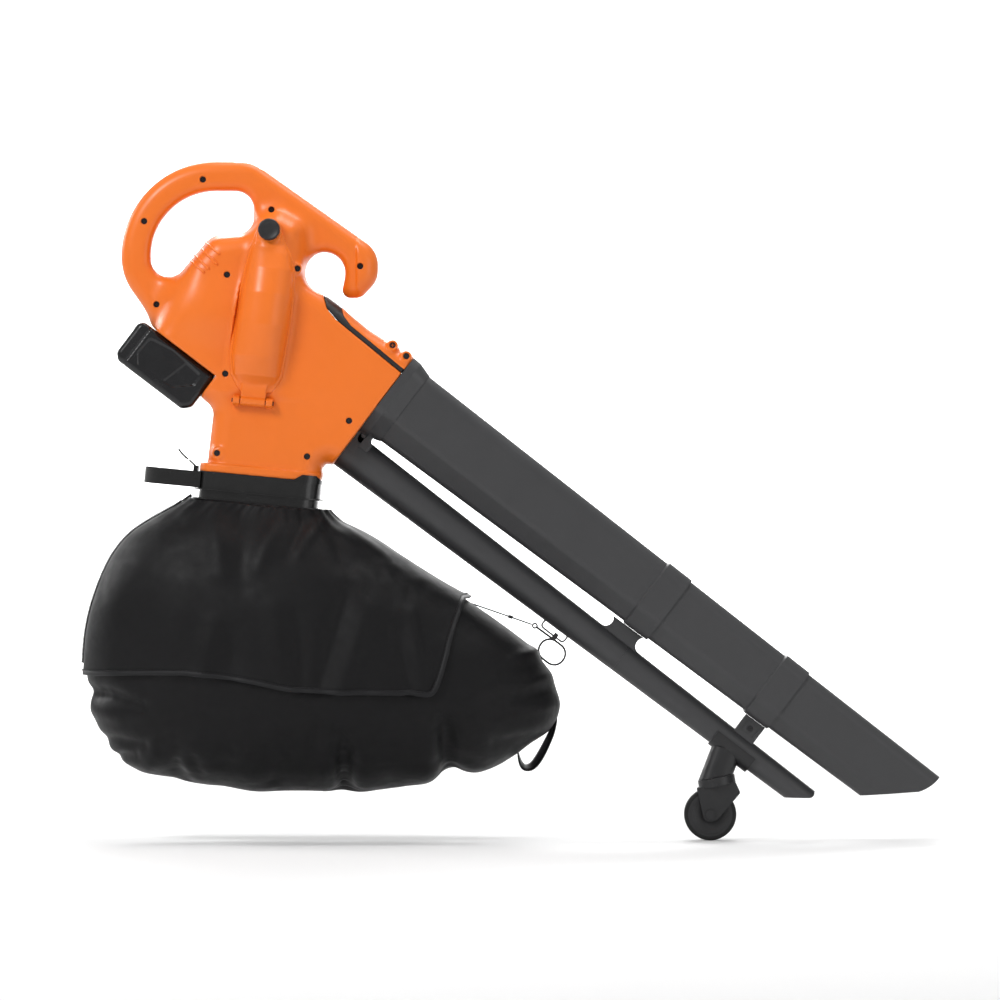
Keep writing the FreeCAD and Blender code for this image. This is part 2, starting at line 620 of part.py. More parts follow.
def suction_tube(u0, u1, sleeve=True):
    """A tube from u0 to u1. With a sleeve it ends in a wider socket that takes the next tube."""
    if not sleeve:
        bore = suction_loft([(u0 - 1, -SUCTION_WALL), (u1 + 1, -SUCTION_WALL)])
        return suction_loft([(u0, 0), (u1, 0)]).cut(bore)
    end, play = u1 + SLEEVE_LENGTH, 0.25
    outer = suction_loft([(u0, 0), (u1 - SLEEVE_STEP, 0), (u1, SLEEVE_STEP), (end, SLEEVE_STEP)])
    bore = suction_loft([(u0 - 1, -SUCTION_WALL), (u1 + 1, -SUCTION_WALL),
                         (u1 + 2.2, play), (end + 1, play)])
    return outer.cut(bore)


def blow_radius(u):
    return BLOW_START + (BLOW_END - BLOW_START) * u / BLOW_LENGTH


def blow_cone(u0, u1, grow):
    """The blow tube's outer cone from u0 to u1, grown by a wall or a clearance."""
    return cone(blow_radius(u0) + grow, blow_radius(u1) + grow, Vector(u0, 0, BLOW_V), Vector(u1, 0, BLOW_V))


def blow_tube(u0, u1):
    return blow_cone(u0, u1, 0).cut(blow_cone(u0 - 1, u1 + 1, -BLOW_WALL))


def suction_core(grow=0.0):
    return loft([suction_section(-2, grow), suction_section(SUCTION_LENGTH + 20, grow)], True)


def build_tubes():
    export("suction_tube_upper", placed(suction_tube(0.3, SLEEVE_1), TUBE))
    export("suction_tube_lower", placed(suction_tube(SLEEVE_1 + SEAT, SLEEVE_2), TUBE))
    nozzle = suction_tube(SLEEVE_2 + SEAT, SUCTION_LENGTH + 16, sleeve=False)
    nozzle = placed(nozzle, TUBE).cut(nozzle_cut())
    export("suction_nozzle", nozzle)

    blow_cut = mouth_cut((330, 55), (384, 54.5), (391.5, 62))
    split_u = SLEEVE_1 + 24                      # where the lower blow tube meets the upper one
    suction_space = suction_core(SUCTION_WALL + 0.5)
    web_start, web_end = SLEEVE_1 - 23, SLEEVE_1 + 39
    web = box(web_start, web_end, -7, 7, -75, -40)
    for u, radius in ((web_start, 10.3), (web_end, 11)):
        web = web.cut(cylinder(radius, Vector(u, -20, BRIDGE_V), Vector(u, 20, BRIDGE_V)))
    web = web.cut(suction_space).cut(cylinder(17, Vector(0, 0, BLOW_V), Vector(500, 0, BLOW_V)))
    web = web.cut(blow_cone(split_u, split_u + 60, FIT))
    export("blow_tube_upper", placed(fuse([blow_tube(0.3, split_u), web]), TUBE))
    lower = blow_tube(split_u + 0.2, BLOW_LENGTH + 26)
    export("blow_tube_lower", placed(lower, TUBE).cut(blow_cut))

    # flange that seats both tubes on the housing
    plate_u = 12
    head = loft([suction_section(0.3, 7), suction_section(plate_u, 6.4)], True)
    foot = cylinder(25.5, Vector(0.3, 0, -82.5), Vector(plate_u, 0, -82.5))
    neck = box(0.3, plate_u, -22, 22, -84, -40)
    lip = loft([suction_section(plate_u, 6.4), suction_section(30, 1)], True)
    flange = fuse([head, foot, neck, lip]).cut(suction_core(FIT)).cut(blow_cone(-1, 40, FIT))
    notch_u = plate_u + 4.6
    flange = flange.cut(cylinder(5.2, Vector(notch_u, -30, BRIDGE_V), Vector(notch_u, 30, BRIDGE_V)))
    export("tube_flange", placed(largest(flange), TUBE))

    bracket_u = SLEEVE_2 + 4
    bracket = box(bracket_u, bracket_u + 30, -9, 9, -76, -38)
    bracket = bracket.cut(box(bracket_u + 5, bracket_u + 25, -12, -7, -66, -50))
    bracket = bracket.cut(suction_space).cut(blow_cone(600, 660, FIT))
    screw_at = Vector(bracket_u + 15, 0, BRIDGE_V - 1)
    well = cylinder(SCREW_WELL_R, screw_at - Y_AXIS * 12, screw_at - Y_AXIS * 4)
    hole = cylinder(SCREW_CORE_R, screw_at - Y_AXIS * 5, screw_at + Y_AXIS * 8)
    export("tube_bracket", placed(bracket.cut(well).cut(hole), TUBE))
    export("bracket_screw", placed(cross_screw(screw_at - Y_AXIS * 4, 11), TUBE))

    bail_u = 356
    bail = oval_ring(bail_u, BLOW_V - blow_radius(bail_u) - 3, 18, 6, 4.5, 2.4)
    bail = bail.cut(blow_cone(300, 420, -0.5))
    bail = bail.cut(placed(parts["blow_tube_upper"], TUBE.inverse()))
    export("bag_bail", placed(Part.makeCompound(bail.Solids), TUBE))


def oval_ring(x, z, half_x, half_z, radius, wire):
    """A flat ring of square wire around a rounded rectangle, in the middle plane."""
    wires = []
    for grow in (wire / 2, -wire / 2):
        a, b = half_x + grow, half_z + grow
        corners = [Vector(x - a, 0, z - b), Vector(x + a, 0, z - b), Vector(x + a, 0, z + b),
                   Vector(x - a, 0, z + b)]
        wires.append(rounded(corners, [radius + grow] * 4))
    return plate(wires, wire / 2)


def mouth_cut(start, bend, tip):
    """Everything below a mouth that is cut level and curls up at its tip."""
    over = ((bend[0] + tip[0]) / 2 + 2, (bend[1] + tip[1]) / 2 - 1.5)
    left, right, ground = start[0] - 60, tip[0] + 40, -80
    edges = [line((left, start[1] - 2), start), line(start, bend), arc(bend, over, tip),
             line(tip, (right, tip[1] + 25)), line((right, tip[1] + 25), (right, ground)),
             line((right, ground), (left, ground)), line((left, ground), (left, start[1] - 2))]
    return plate([Part.Wire(edges)], 100)


def nozzle_cut():
    return mouth_cut((448, 58), (524, 63.5), (551.3, 82.1))


# ---------------------------------------------------------------- bag and collar
BAG_MOUTH = (-37.0, 81.0, 61.0)   # height in the neck frame, half length, half depth
BAG = [(412, -334, 110, 76), (388, -336, 146, 94), (350, -322, 191, 112),
       (290, -291, 247, 126), (235, -256, 290, BAG_HALF_DEPTH), (180, -239, 296, BAG_HALF_DEPTH),
       (132, -247, 272, 122), (98, -262, 226, 102), (80, -268, 160, 74)]
FLAP_OFF = 0.4                    # the flap hangs this far off the bag

ZIP_FRAME = Placement(Vector(-412, 0, 435), Rotation(Y_AXIS, -34.7))
PULLER_BAR = (-9.6, 7.6)          # the slider's cross bar, in the zip frame


def bag_body(grow=0.0):
    """The bag's outer shape, from its tilted mouth and level sections (z, middle, half sizes)."""
    mouth_z, mouth_x, mouth_y = BAG_MOUTH
    wires = [oval(mouth_x + grow, mouth_y + grow, 2.6, lambda p, q: at(NECK_FRAME, p, q, mouth_z))]
    for z, middle, half, depth in BAG:
        z_out = z - grow if z == BAG[-1][0] else z
        wires.append(oval(half + grow, depth + grow, 2.35,
                          lambda p, q, m=middle, h=z_out: Vector(m + p, q, h)))
    return loft(wires)


def build_bag():
    outer = bag_body()
    mouth = loft([oval(66, 46, 3, lambda p, q, h=z: at(NECK_FRAME, p, q, h)) for z in (-60, -30)])
    export("leaf_bag", outer.cut(bag_body(-BAG_WALL)).cut(mouth))
    skirt = bag_body(FLAP_OFF + FLAP_WALL).cut(bag_body(FLAP_OFF))
    region = closed([
        curve([(-552, 214), (-480, 214), (-400, 212), (-330, 204), (-262, 194), (-190, 192), (-97, 187)]),
        curve([(-97, 187), (-83, 225), (-76, 262), (-62, 309)]),
        line((-62, 309), (-215, 440)), line((-215, 440), (-400, 460)), line((-400, 460), (-570, 400)),
        line((-570, 400), (-570, 214)), line((-570, 214), (-552, 214))])
    below_frame = placed(box(-300, 400, -200, 200, -400, BAG_MOUTH[0] - 1), NECK_FRAME)
    skirt = largest(skirt.common(plate([region], 200)).common(below_frame))
    export("bag_flap", skirt)
    strap_route = [(57, 166), (57, 150), (45, 122), (29, 97), (17, 94), (11, 103), (9, 114)]
    loop = strap([Vector(x, 0, z) for x, z in strap_route], 2.2, 20)
    export("grab_loop", largest(loop.cut(bag_body(0.1))))
    zip_route = [(-415, 438), (-446, 416), (-487, 390), (-514, 357), (-533, 318), (-546, 270), (-550, 228)]
    tape = strap([Vector(x, 0, z) for x, z in zip_route], 2.4, 9)
    tape = tape.cut(placed(box(-7.4, 20, -6, 6, 0, 12), ZIP_FRAME))
    export("bag_zip", largest(tape.cut(skirt).cut(bag_body(FLAP_OFF + FLAP_WALL + 0.1))))


def strap(points, thickness, width):
    """A flat webbing strap that follows points in the middle plane."""
    spline = Part.BSplineCurve()
    spline.interpolate(points)
    spine = Part.Wire(spline.toShape())
    start, way = points[0], spline.tangent(spline.FirstParameter)[0]
    across = way.cross(Y_AXIS).normalize() * (thickness / 2)
    side = Y_AXIS * (width / 2)
    section = Part.makePolygon([start + across + side, start - across + side, start - across - side,
                                start + across - side, start + across + side])
    return spine.makePipeShell([section], True, True)


def neck_loft(z0, z1, half_x, half_y):
    """A solid band around the neck's axis, with a rounded-rectangle section."""
    return loft([oval(half_x, half_y, 5, lambda p, q, h=z: Vector(p, q, h)) for z in (z0, z1)])


def build_collar():
    band = neck_loft(-24, 0, *COLLAR_OUT)
    lip = neck_loft(-24, -22.4, 84, 64)
    raised = hump().common(neck_loft(-3, 9, 80, 60))
    handle = plate_loop(-150, -76, 46, 6).common(box(-200, 0, -80, 80, -22, -1))
    collar = fuse([band, lip, raised, handle]).cut(neck_loft(-40, 20, *COLLAR_IN))
    export("bag_collar", placed(largest(collar), NECK_FRAME))
    frame = fuse([neck_loft(-36, -24.2, 77, 58), neck_loft(-36, -34.4, 84, 64)])
    export("bag_frame", placed(frame.cut(neck_loft(-40, 20, 72, 53)), NECK_FRAME))

    pivot_x, pivot_z = -84.5, 3.0
    bar = cylinder(1.6, Vector(pivot_x, -12, pivot_z), Vector(pivot_x, 12, pivot_z))
    tongue_route = [(-84.5, 4.5), (-92, 10.5), (-101, 17), (-109, 25)]
    tongue = strap([Vector(x, 0, z) for x, z in tongue_route], 2.2, 24)
    export("latch_lever", placed(fuse([bar, tongue]), NECK_FRAME))
    posts = []
    for side in (-1, 1):
        y0, y1 = sorted((side * 12.4, side * 16))
        posts.append(box(pivot_x - 3, pivot_x + 3, y0, y1, -1, pivot_z + 3))
    export("latch_posts", placed(Part.makeCompound(posts), NECK_FRAME))


def plate_loop(x_left, x_right, half_width, thickness):
    """A D-shaped handle ring seen from above, in the neck frame, 40 high."""
    solids = []
    for inset in (0, thickness):
        r = half_width - inset
        cx = x_left + half_width
        edges = [Part.Arc(Vector(cx, r, -30), Vector(cx - r, 0, -30), Vector(cx, -r, -30)).toShape(),
                 Part.makeLine(Vector(cx, -r, -30), Vector(x_right, -r, -30)),
                 Part.makeLine(Vector(x_right, -r, -30), Vector(x_right, r, -30)),
                 Part.makeLine(Vector(x_right, r, -30), Vector(cx, r, -30))]
        solids.append(Part.Face(Part.Wire(edges)).extrude(Vector(0, 0, 40)))
    return solids[0].cut(solids[1])


# ---------------------------------------------------------------- zip, hook and elastic
HOOK_FRAME = Placement(Vector(54, 0, 242), Rotation(Y_AXIS, TUBE_ANGLE))
CORD_R = 1.0
CORD_ROUTE = [(-60, 308), (-6, 289.5), (28, 277.5)]


def build_bag_fittings():
    bar_x, bar_z = PULLER_BAR
    plates = box(-7, 7, -4.5, 4.5, 4.2, 8.2)
    plates = plates.makeFillet(1.2, [e for e in plates.Edges if e.BoundBox.YLength < 0.1])
    bar = cylinder(0.9, Vector(bar_x, -4.4, bar_z), Vector(bar_x, 4.4, bar_z))
    lugs = []
    for side in (-1, 1):
        y0, y1 = sorted((side * 3.2, side * 4.5))
        lugs.append(box(bar_x - 1.4, -5, y0, y1, 6.2, 8.0))
        lugs.append(cylinder(1.4, Vector(bar_x, y0, bar_z), Vector(bar_x, y1, bar_z)))
    export("zip_slider", placed(fuse([plates, bar, *lugs]), ZIP_FRAME))
    corners = [(-36, -3.5), (bar_x, -2.4), (bar_x, 2.4), (-36, 3.5)]
    outline = rounded([Vector(x, y, bar_z - 0.7) for x, y in corners], [3, 1, 1, 3])
    tab = Part.Face(outline).extrude(Vector(0, 0, 1.4))
    barrel = cylinder(1.9, Vector(bar_x, -2.4, bar_z), Vector(bar_x, 2.4, bar_z))
    bore = cylinder(0.95, Vector(bar_x, -5, bar_z), Vector(bar_x, 5, bar_z))
    eye = cylinder(1.4, Vector(-31, 0, 0), Vector(-31, 0, 12))
    export("zip_puller", placed(tab.fuse(barrel).cut(bore).cut(eye), ZIP_FRAME))

    pull = oval_ring(0, 0, 17.6, 14.1, 13.4, 2.8)
    claw = box(-12, -6, -3.2, 3.2, 13, 22.8).cut(box(-13, -5, -1.6, 1.6, 16.2, 19.6))
    arm = cylinder(1.4, Vector(-9, 0, 14), Vector(-35, 0, 13.5))
    eye = ring(4.0, 1.8, Vector(-38, -1.4, 13.5), Vector(-38, 1.4, 13.5))
    arm = arm.cut(cylinder(1.8, Vector(-38, -5, 13.5), Vector(-38, 5, 13.5)))
    hook = pull.fuse(arm).fuse(eye).fuse(claw)
    export("bag_hook", placed(hook, HOOK_FRAME))

    cord = tube_along([Vector(x, 0, z) for x, z in CORD_ROUTE], CORD_R)
    export("elastic_cord", cord)
    start, end = flat(CORD_ROUTE[1]), flat(CORD_ROUTE[2])
    way = (end - start).normalize()
    export("cord_crimp", ring(2.2, CORD_R + FIT, start + way * 4, start + way * 10))


def tube_along(points, radius):
    """A round cord through three points: two straight runs and the tangent arc between them."""
    a, b, c = points
    back, on = (a - b).normalize(), (c - b).normalize()
    half = back.getAngle(on) / 2
    reach = 0.45 * min((a - b).Length, (c - b).Length)
    bend = reach * math.tan(half)
    middle = b + (back + on).normalize() * (bend / math.sin(half) - bend)
    bend_start, bend_end = b + back * reach, b + on * reach
    edges = [Part.makeLine(a, bend_start), Part.Arc(bend_start, middle, bend_end).toShape(),
             Part.makeLine(bend_end, c)]
    print("elastic cord: bend radius", round(bend), "mm, length", round(Part.Wire(edges).Length, 1), "mm")
    circle = Part.Wire(Part.makeCircle(radius, a, (b - a).normalize()))
    return Part.Wire(edges).makePipeShell([circle], True, True)


# ---------------------------------------------------------------- caster
def build_caster():
    mid_u = SLEEVE_2 + 18
    saddle = cylinder(20, Vector(mid_u - 30, 0, BLOW_V), Vector(mid_u + 30, 0, BLOW_V))
    saddle = saddle.cut(box(mid_u - 40, mid_u + 40, -30, 30, BLOW_V + 2, 0))
    tube_space = blow_cone(560, 700, 0.1)
    saddle = placed(saddle.cut(tube_space), TUBE)
    top = Vector(279, 0, 118)
    leg = loft([oval(23, 19, 2.6, lambda p, q: at(SWIVEL_FRAME, p, q, 0.3)),
                oval(19, 17, 2.6, lambda p, q: Vector(top.x + p, q, top.z - 0.25 * p))])
    stem_hole = placed(cylinder(5.1, Vector(0, 0, -1), Vector(0, 0, 12)), SWIVEL_FRAME)
    above = placed(box(560, 700, -40, 40, BLOW_V, 60), TUBE)
    leg = leg.cut(placed(tube_space, TUBE)).cut(above).cut(stem_hole)
    export("caster_leg", largest(fuse([saddle, leg])))

    local_wheel = SWIVEL_FRAME.inverse().multVec(WHEEL)
    cap = cylinder(24, Vector(0, 0, -11), Vector(0, 0, -0.3))
    stem = cylinder(5.0, Vector(0, 0, -2), Vector(0, 0, 11.5))
    fork_half = WHEEL_W / 2 + 5.2
    cheeks = []
    for side in (-1, 1):
        y0 = side * (fork_half - 1.6)
        cheek = rounded([Vector(x, y0 - 1.6, z) for x, z in
                         ((-27, -9), (23, -9), (27, -25), (local_wheel.x + 7, local_wheel.z - 9),
                          (local_wheel.x - 9, local_wheel.z - 7))], [3, 4, 4, 7, 7])
        cheeks.append(Part.Face(cheek).extrude(Vector(0, 3.2, 0)))
    fork = fuse([cap, stem, *cheeks])
    axle_line = (Vector(local_wheel.x, -40, local_wheel.z), Vector(local_wheel.x, 40, local_wheel.z))
    room = cylinder(WHEEL_R + 1.5, Vector(local_wheel.x, -WHEEL_W / 2 - 2, local_wheel.z),
                    Vector(local_wheel.x, WHEEL_W / 2 + 2, local_wheel.z))
    fork = fork.cut(room).cut(cylinder(3.05, *axle_line))
    export("caster_fork", placed(largest(fork), SWIVEL_FRAME))

    axle = cylinder(3.0, WHEEL - Y_AXIS * (fork_half + 1), WHEEL + Y_AXIS * (fork_half + 1))
    export("caster_axle", axle)
    caps = []
    for side in (-1, 1):
        a = WHEEL + Y_AXIS * side * (fork_half + 0.05)
        b = WHEEL + Y_AXIS * side * (fork_half + 3)
        cap_ring = cylinder(6, a, b).cut(cylinder(3.0, WHEEL, WHEEL + Y_AXIS * side * (fork_half + 1.0)))
        caps.append(cap_ring)
    export("axle_caps", Part.makeCompound(caps))
    half = WHEEL_W / 2
    hub = ring(WHEEL_R - 5, 3.1, WHEEL - Y_AXIS * half, WHEEL + Y_AXIS * half)
    dishes = [cone(WHEEL_R - 9, 10, WHEEL + Y_AXIS * side * (half + 0.01), WHEEL + Y_AXIS * side * (half - 3))
              for side in (-1, 1)]
    export("caster_wheel", hub.cut(Part.makeCompound(dishes)))
    tyre = ring(WHEEL_R, WHEEL_R - 5, WHEEL - Y_AXIS * half, WHEEL + Y_AXIS * half)
    tyre = tyre.makeFillet(3, [e for e in tyre.Edges if abs(e.BoundBox.XLength - 2 * WHEEL_R) < 0.1])
    export("caster_tyre", tyre)


# ---------------------------------------------------------------- build
def main():
    os.makedirs("parts", exist_ok=True)
    solid = build_housing()
    build_socket_top(solid)
    build_cover()
    build_drive()
    build_switch()
    build_battery()
    build_tubes()
    build_bag()
    build_collar()
    build_bag_fittings()
    build_caster()
    for name, shape in parts.items():
        shape.exportStep(f"parts/{name}.step")
        volume = shape.Volume / 1000
        print(f"{name:22s} valid={shape.isValid()} solids={len(shape.Solids)} volume={volume:.1f} cm3")


main()
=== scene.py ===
"""Looks of the cordless leaf blower vacuum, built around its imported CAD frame. Metres, +Z up."""
import json
import math
from functools import reduce

import bmesh
import bpy
import numpy as np
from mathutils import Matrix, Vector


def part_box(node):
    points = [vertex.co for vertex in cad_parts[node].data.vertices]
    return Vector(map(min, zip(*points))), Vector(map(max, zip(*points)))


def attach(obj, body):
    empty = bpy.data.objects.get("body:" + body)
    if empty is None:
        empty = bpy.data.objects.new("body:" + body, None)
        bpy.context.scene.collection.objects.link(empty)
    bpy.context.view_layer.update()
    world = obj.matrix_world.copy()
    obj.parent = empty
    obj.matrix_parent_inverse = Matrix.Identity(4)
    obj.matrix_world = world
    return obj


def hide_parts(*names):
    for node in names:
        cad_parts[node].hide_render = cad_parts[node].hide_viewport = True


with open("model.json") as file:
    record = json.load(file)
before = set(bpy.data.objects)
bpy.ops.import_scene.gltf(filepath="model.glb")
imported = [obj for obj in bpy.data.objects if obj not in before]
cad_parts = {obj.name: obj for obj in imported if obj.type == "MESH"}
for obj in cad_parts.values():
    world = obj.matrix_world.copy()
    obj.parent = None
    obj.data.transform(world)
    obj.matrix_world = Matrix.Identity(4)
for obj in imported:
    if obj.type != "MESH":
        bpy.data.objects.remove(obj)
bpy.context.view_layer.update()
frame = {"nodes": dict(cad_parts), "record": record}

import openvdb
from mathutils import Matrix, Vector
from mathutils.bvhtree import BVHTree

NODES = frame["nodes"]
MATERIALS = {}
MM = 0.001

# Main places, in millimetres in the row frame, as in the CAD model.
TUBE_ANGLE, NECK_ANGLE = math.radians(37.3), math.radians(5.5)
JOINT, NECK, FAN = (-159.0, 573.0), (-320.0, 468.0), (-316.0, 672.0)
COVER_HINGE = (-329.0, 563.0)
CORE, SPINE = 56.0, 17.0  # half widths of the housing and of its handles
SCREWS = [(-394.6, 849.3), (-470, 795.7), (-454, 688.8), (-362.2, 725.9), (-306.4, 810.5),
          (-272, 733.7), (-192.5, 737.9), (-364.4, 599.2), (-375, 497.7), (-259.8, 493.2),
          (-206, 539)]
CLAMP_SCREWS = [(-150.4, 635.8), (-132.8, 621.8)]
EDGE_SCREWS = [(-272, 733.7), (-375, 497.7)]  # these stand on bosses, near the rounded rim
COVER_BASE = 56.0  # the inspection cover's flat back, at y = -56
WELL_RADIUS, BOSS_RADIUS = 4.2, 7.0  # round every screw


# ---------- small helpers
def along(frame_origin, angle, a, b):
    """The (x, z) point a along and b across a local frame that is tilted down by angle."""
    c, s = math.cos(angle), math.sin(angle)
    return (frame_origin[0] + a * c + b * s, frame_origin[1] - a * s + b * c)


def tube_point(u, v):
    """The (x, z) point u along and v across the tubes' frame."""
    return along(JOINT, TUBE_ANGLE, u, v)


def metres(x, z, y=0.0):
    """A point given in millimetres."""
    return Vector((x * MM, y * MM, z * MM))


def add_object(name, data):
    obj = bpy.data.objects.new(name, data)
    bpy.context.scene.collection.objects.link(obj)
    return obj


def smooth(obj):
    obj.data.polygons.foreach_set("use_smooth", [True] * len(obj.data.polygons))
    return obj


def apply_modifiers(obj):
    """Bakes the object's modifiers into its mesh."""
    graph = bpy.context.evaluated_depsgraph_get()
    mesh = bpy.data.meshes.new_from_object(obj.evaluated_get(graph))
    obj.modifiers.clear()
    obj.data = mesh
    return obj


def join_rings(bm, rings, closed=False):
    """Faces from each ring of corners to the next, with both ends capped unless the run is closed."""
    for one, two in zip(rings, rings[1:] + rings[:1] if closed else rings[1:]):
        for k in range(len(one)):
            after = (k + 1) % len(one)
            bm.faces.new((one[k], one[after], two[after], two[k]))
    if not closed:
        bm.faces.new(rings[0][::-1])
        bm.faces.new(rings[-1])


def mesh_object(name, bm):
    """A smooth object of a closed bmesh, with its faces turned outwards."""
    bmesh.ops.recalc_face_normals(bm, faces=bm.faces)
    mesh = bpy.data.meshes.new(name)
    bm.to_mesh(mesh)
    return smooth(add_object(name, mesh))


def paint(obj, material):
    obj.data.materials.clear()
    obj.data.materials.append(material)
    return obj


# ---------- materials
def material(name, color, roughness, build=None, sockets=None):
    """A Principled material; build adds its pattern, and sockets are further plain values."""
    mat = bpy.data.materials.new(name)
    mat.use_nodes = True
    tree = mat.node_tree
    shader = tree.nodes["Principled BSDF"]
    shader.inputs["Base Color"].default_value = (*color, 1)
    shader.inputs["Roughness"].default_value = roughness
    for key, value in (sockets or {}).items():
        shader.inputs[key].default_value = value
    if build:
        build(tree, shader, color)
    return mat


def node(tree, kind, inputs=None, **settings):
    """A shader node with its inputs linked or set, and its settings."""
    made = tree.nodes.new(kind)
    for key, value in settings.items():
        setattr(made, key, value)
    for key, value in (inputs or {}).items():
        if isinstance(value, bpy.types.NodeSocket):
            tree.links.new(value, made.inputs[key])
        else:
            made.inputs[key].default_value = value
    return made


def noise(tree, scale, detail=3.0, roughness=0.55, stretch=None):
    place = node(tree, "ShaderNodeTexCoord")
    where = place.outputs["Object"]
    if stretch:
        where = node(tree, "ShaderNodeMapping", {"Vector": where, "Scale": stretch}).outputs["Vector"]
    return node(tree, "ShaderNodeTexNoise",
                {"Vector": where, "Scale": scale, "Detail": detail, "Roughness": roughness}).outputs["Fac"]


def remap(tree, value, low, high, to_low, to_high):
    return node(tree, "ShaderNodeMapRange", {"Value": value, "From Min": low, "From Max": high,
                                             "To Min": to_low, "To Max": to_high}).outputs["Result"]


def shade(tree, shader, color, value, spread):
    """Varies the base colour a little with a value from 0 to 1."""
    dark = [c * (1 - spread) for c in color]
    light = [min(c * (1 + spread), 1) for c in color]
    mix = node(tree, "ShaderNodeMix", {"Factor": value, "A": (*dark, 1), "B": (*light, 1)},
               data_type="RGBA")
    tree.links.new(mix.outputs["Result"], shader.inputs["Base Color"])


def bump(tree, shader, height, strength, distance):
    made = node(tree, "ShaderNodeBump", {"Height": height, "Strength": strength, "Distance": distance})
    tree.links.new(made.outputs["Normal"], shader.inputs["Normal"])


def moulded(grain, spread, rough_low, rough_high):
    """Injection-moulded plastic: a spark-eroded grain, slow colour drift and handled patches."""
    def build(tree, shader, color):
        fine = noise(tree, grain, 2.0)
        slow = noise(tree, 9.0, 3.0)
        shade(tree, shader, color, slow, spread)
        rough = remap(tree, noise(tree, 38.0, 4.0), 0.3, 0.7, rough_low, rough_high)
        tree.links.new(rough, shader.inputs["Roughness"])
        bump(tree, shader, fine, 0.12, 0.0004)
    return build


def woven(thread, spread):
    """Coated plain weave: crossing threads, a slow mottling and soft creases."""
    def build(tree, shader, color):
        place = node(tree, "ShaderNodeTexCoord").outputs["Object"]
        warp, weft = [node(tree, "ShaderNodeTexWave", {"Vector": place, "Scale": thread, "Distortion": 0.6},
                           wave_type="BANDS", bands_direction=way).outputs["Fac"] for way in "XZ"]
        weave = node(tree, "ShaderNodeMath", {0: warp, 1: weft}, operation="MULTIPLY").outputs[0]
        crease = noise(tree, 22.0, 6.0, 0.6)
        total = node(tree, "ShaderNodeMath", {0: weave, 1: crease, 2: 0.5},
                     operation="MULTIPLY_ADD").outputs[0]
        shade(tree, shader, color, noise(tree, 14.0, 5.0), spread)
        rough = remap(tree, noise(tree, 60.0, 4.0), 0.3, 0.7, 0.44, 0.58)
        tree.links.new(rough, shader.inputs["Roughness"])
        bump(tree, shader, total, 0.25, 0.0006)
    return build


def metal_grain(tree, shader, color):
    """Turned metal: fine streaks along the part."""
    streak = noise(tree, 400.0, 3.0, stretch=(1, 1, 12))
    shade(tree, shader, color, streak, 0.15)
    rough = remap(tree, streak, 0.2, 0.8, 0.28, 0.45)
    tree.links.new(rough, shader.inputs["Roughness"])


def make_materials():
    """Every finish, by its slot in the record: name, colour, roughness, pattern and plain values."""
    rows = {
        "orange": ("orange_plastic", (0.80, 0.165, 0.012), 0.36, moulded(900.0, 0.05, 0.3, 0.42),
                   {"Specular IOR Level": 0.4, "Coat Weight": 0.1, "Coat Roughness": 0.3}),
        "black_trim": ("black_trim_plastic", (0.008, 0.008, 0.009), 0.42, moulded(1100.0, 0.2, 0.36, 0.5)),
        "grey_tube": ("grey_tube_plastic", (0.036, 0.036, 0.038), 0.45, moulded(1000.0, 0.1, 0.38, 0.52)),
        "collar_black": ("collar_plastic", (0.006, 0.006, 0.006), 0.2, moulded(700.0, 0.2, 0.14, 0.26)),
        "battery_black": ("battery_plastic", (0.005, 0.005, 0.006), 0.24, moulded(700.0, 0.2, 0.16, 0.3)),
        "bag_fabric": ("coated_polyester", (0.0030, 0.0028, 0.0034), 0.5, woven(420.0, 0.3),
                       {"Specular IOR Level": 0.2, "Sheen Weight": 0.03, "Sheen Roughness": 0.35}),
        "webbing": ("nylon_webbing", (0.006, 0.006, 0.007), 0.7, woven(260.0, 0.25),
                    {"Specular IOR Level": 0.25, "Sheen Weight": 0.05}),
        "cord_elastic": ("elastic_cord", (0.011, 0.011, 0.012), 0.6, woven(900.0, 0.3), {"Sheen Weight": 0.15}),
        "rubber": ("wheel_rubber", (0.008, 0.008, 0.008), 0.6, moulded(500.0, 0.2, 0.5, 0.66),
                   {"Specular IOR Level": 0.3}),
        "dark_steel": ("blackened_steel", (0.05, 0.05, 0.052), 0.35, metal_grain, {"Metallic": 1.0}),
        "steel": ("bright_steel", (0.5, 0.5, 0.52), 0.3, metal_grain, {"Metallic": 1.0}),
        "brass": ("brass", (0.7, 0.45, 0.16), 0.3, metal_grain, {"Metallic": 1.0}),
        "copper": ("magnet_copper", (0.6, 0.28, 0.13), 0.35, metal_grain, {"Metallic": 1.0}),
        "fan_grey": ("glass_filled_nylon", (0.05, 0.05, 0.053), 0.5, moulded(800.0, 0.2, 0.42, 0.6)),
        "board_green": ("circuit_board", (0.012, 0.10, 0.038), 0.4, moulded(300.0, 0.2, 0.3, 0.5)),
        "cell_wrap": ("cell_wrap", (0.05, 0.17, 0.34), 0.3, moulded(200.0, 0.1, 0.25, 0.35)),
    }
    return {slot: material(*row) for slot, row in rows.items()}


def paint_cad():
    """A finish on every carried CAD node, by its slot in the record."""
    for entry in frame["record"]["subparts"]:
        paint(NODES[entry["node"]], MATERIALS[entry["material_slot"]])


def piece(obj, body, slot, *replaced):
    """Every new piece: its finish, its body, and the CAD nodes it stands for."""
    paint(obj, MATERIALS[slot])
    if replaced:
        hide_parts(*replaced)
    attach(obj, body)
    return obj


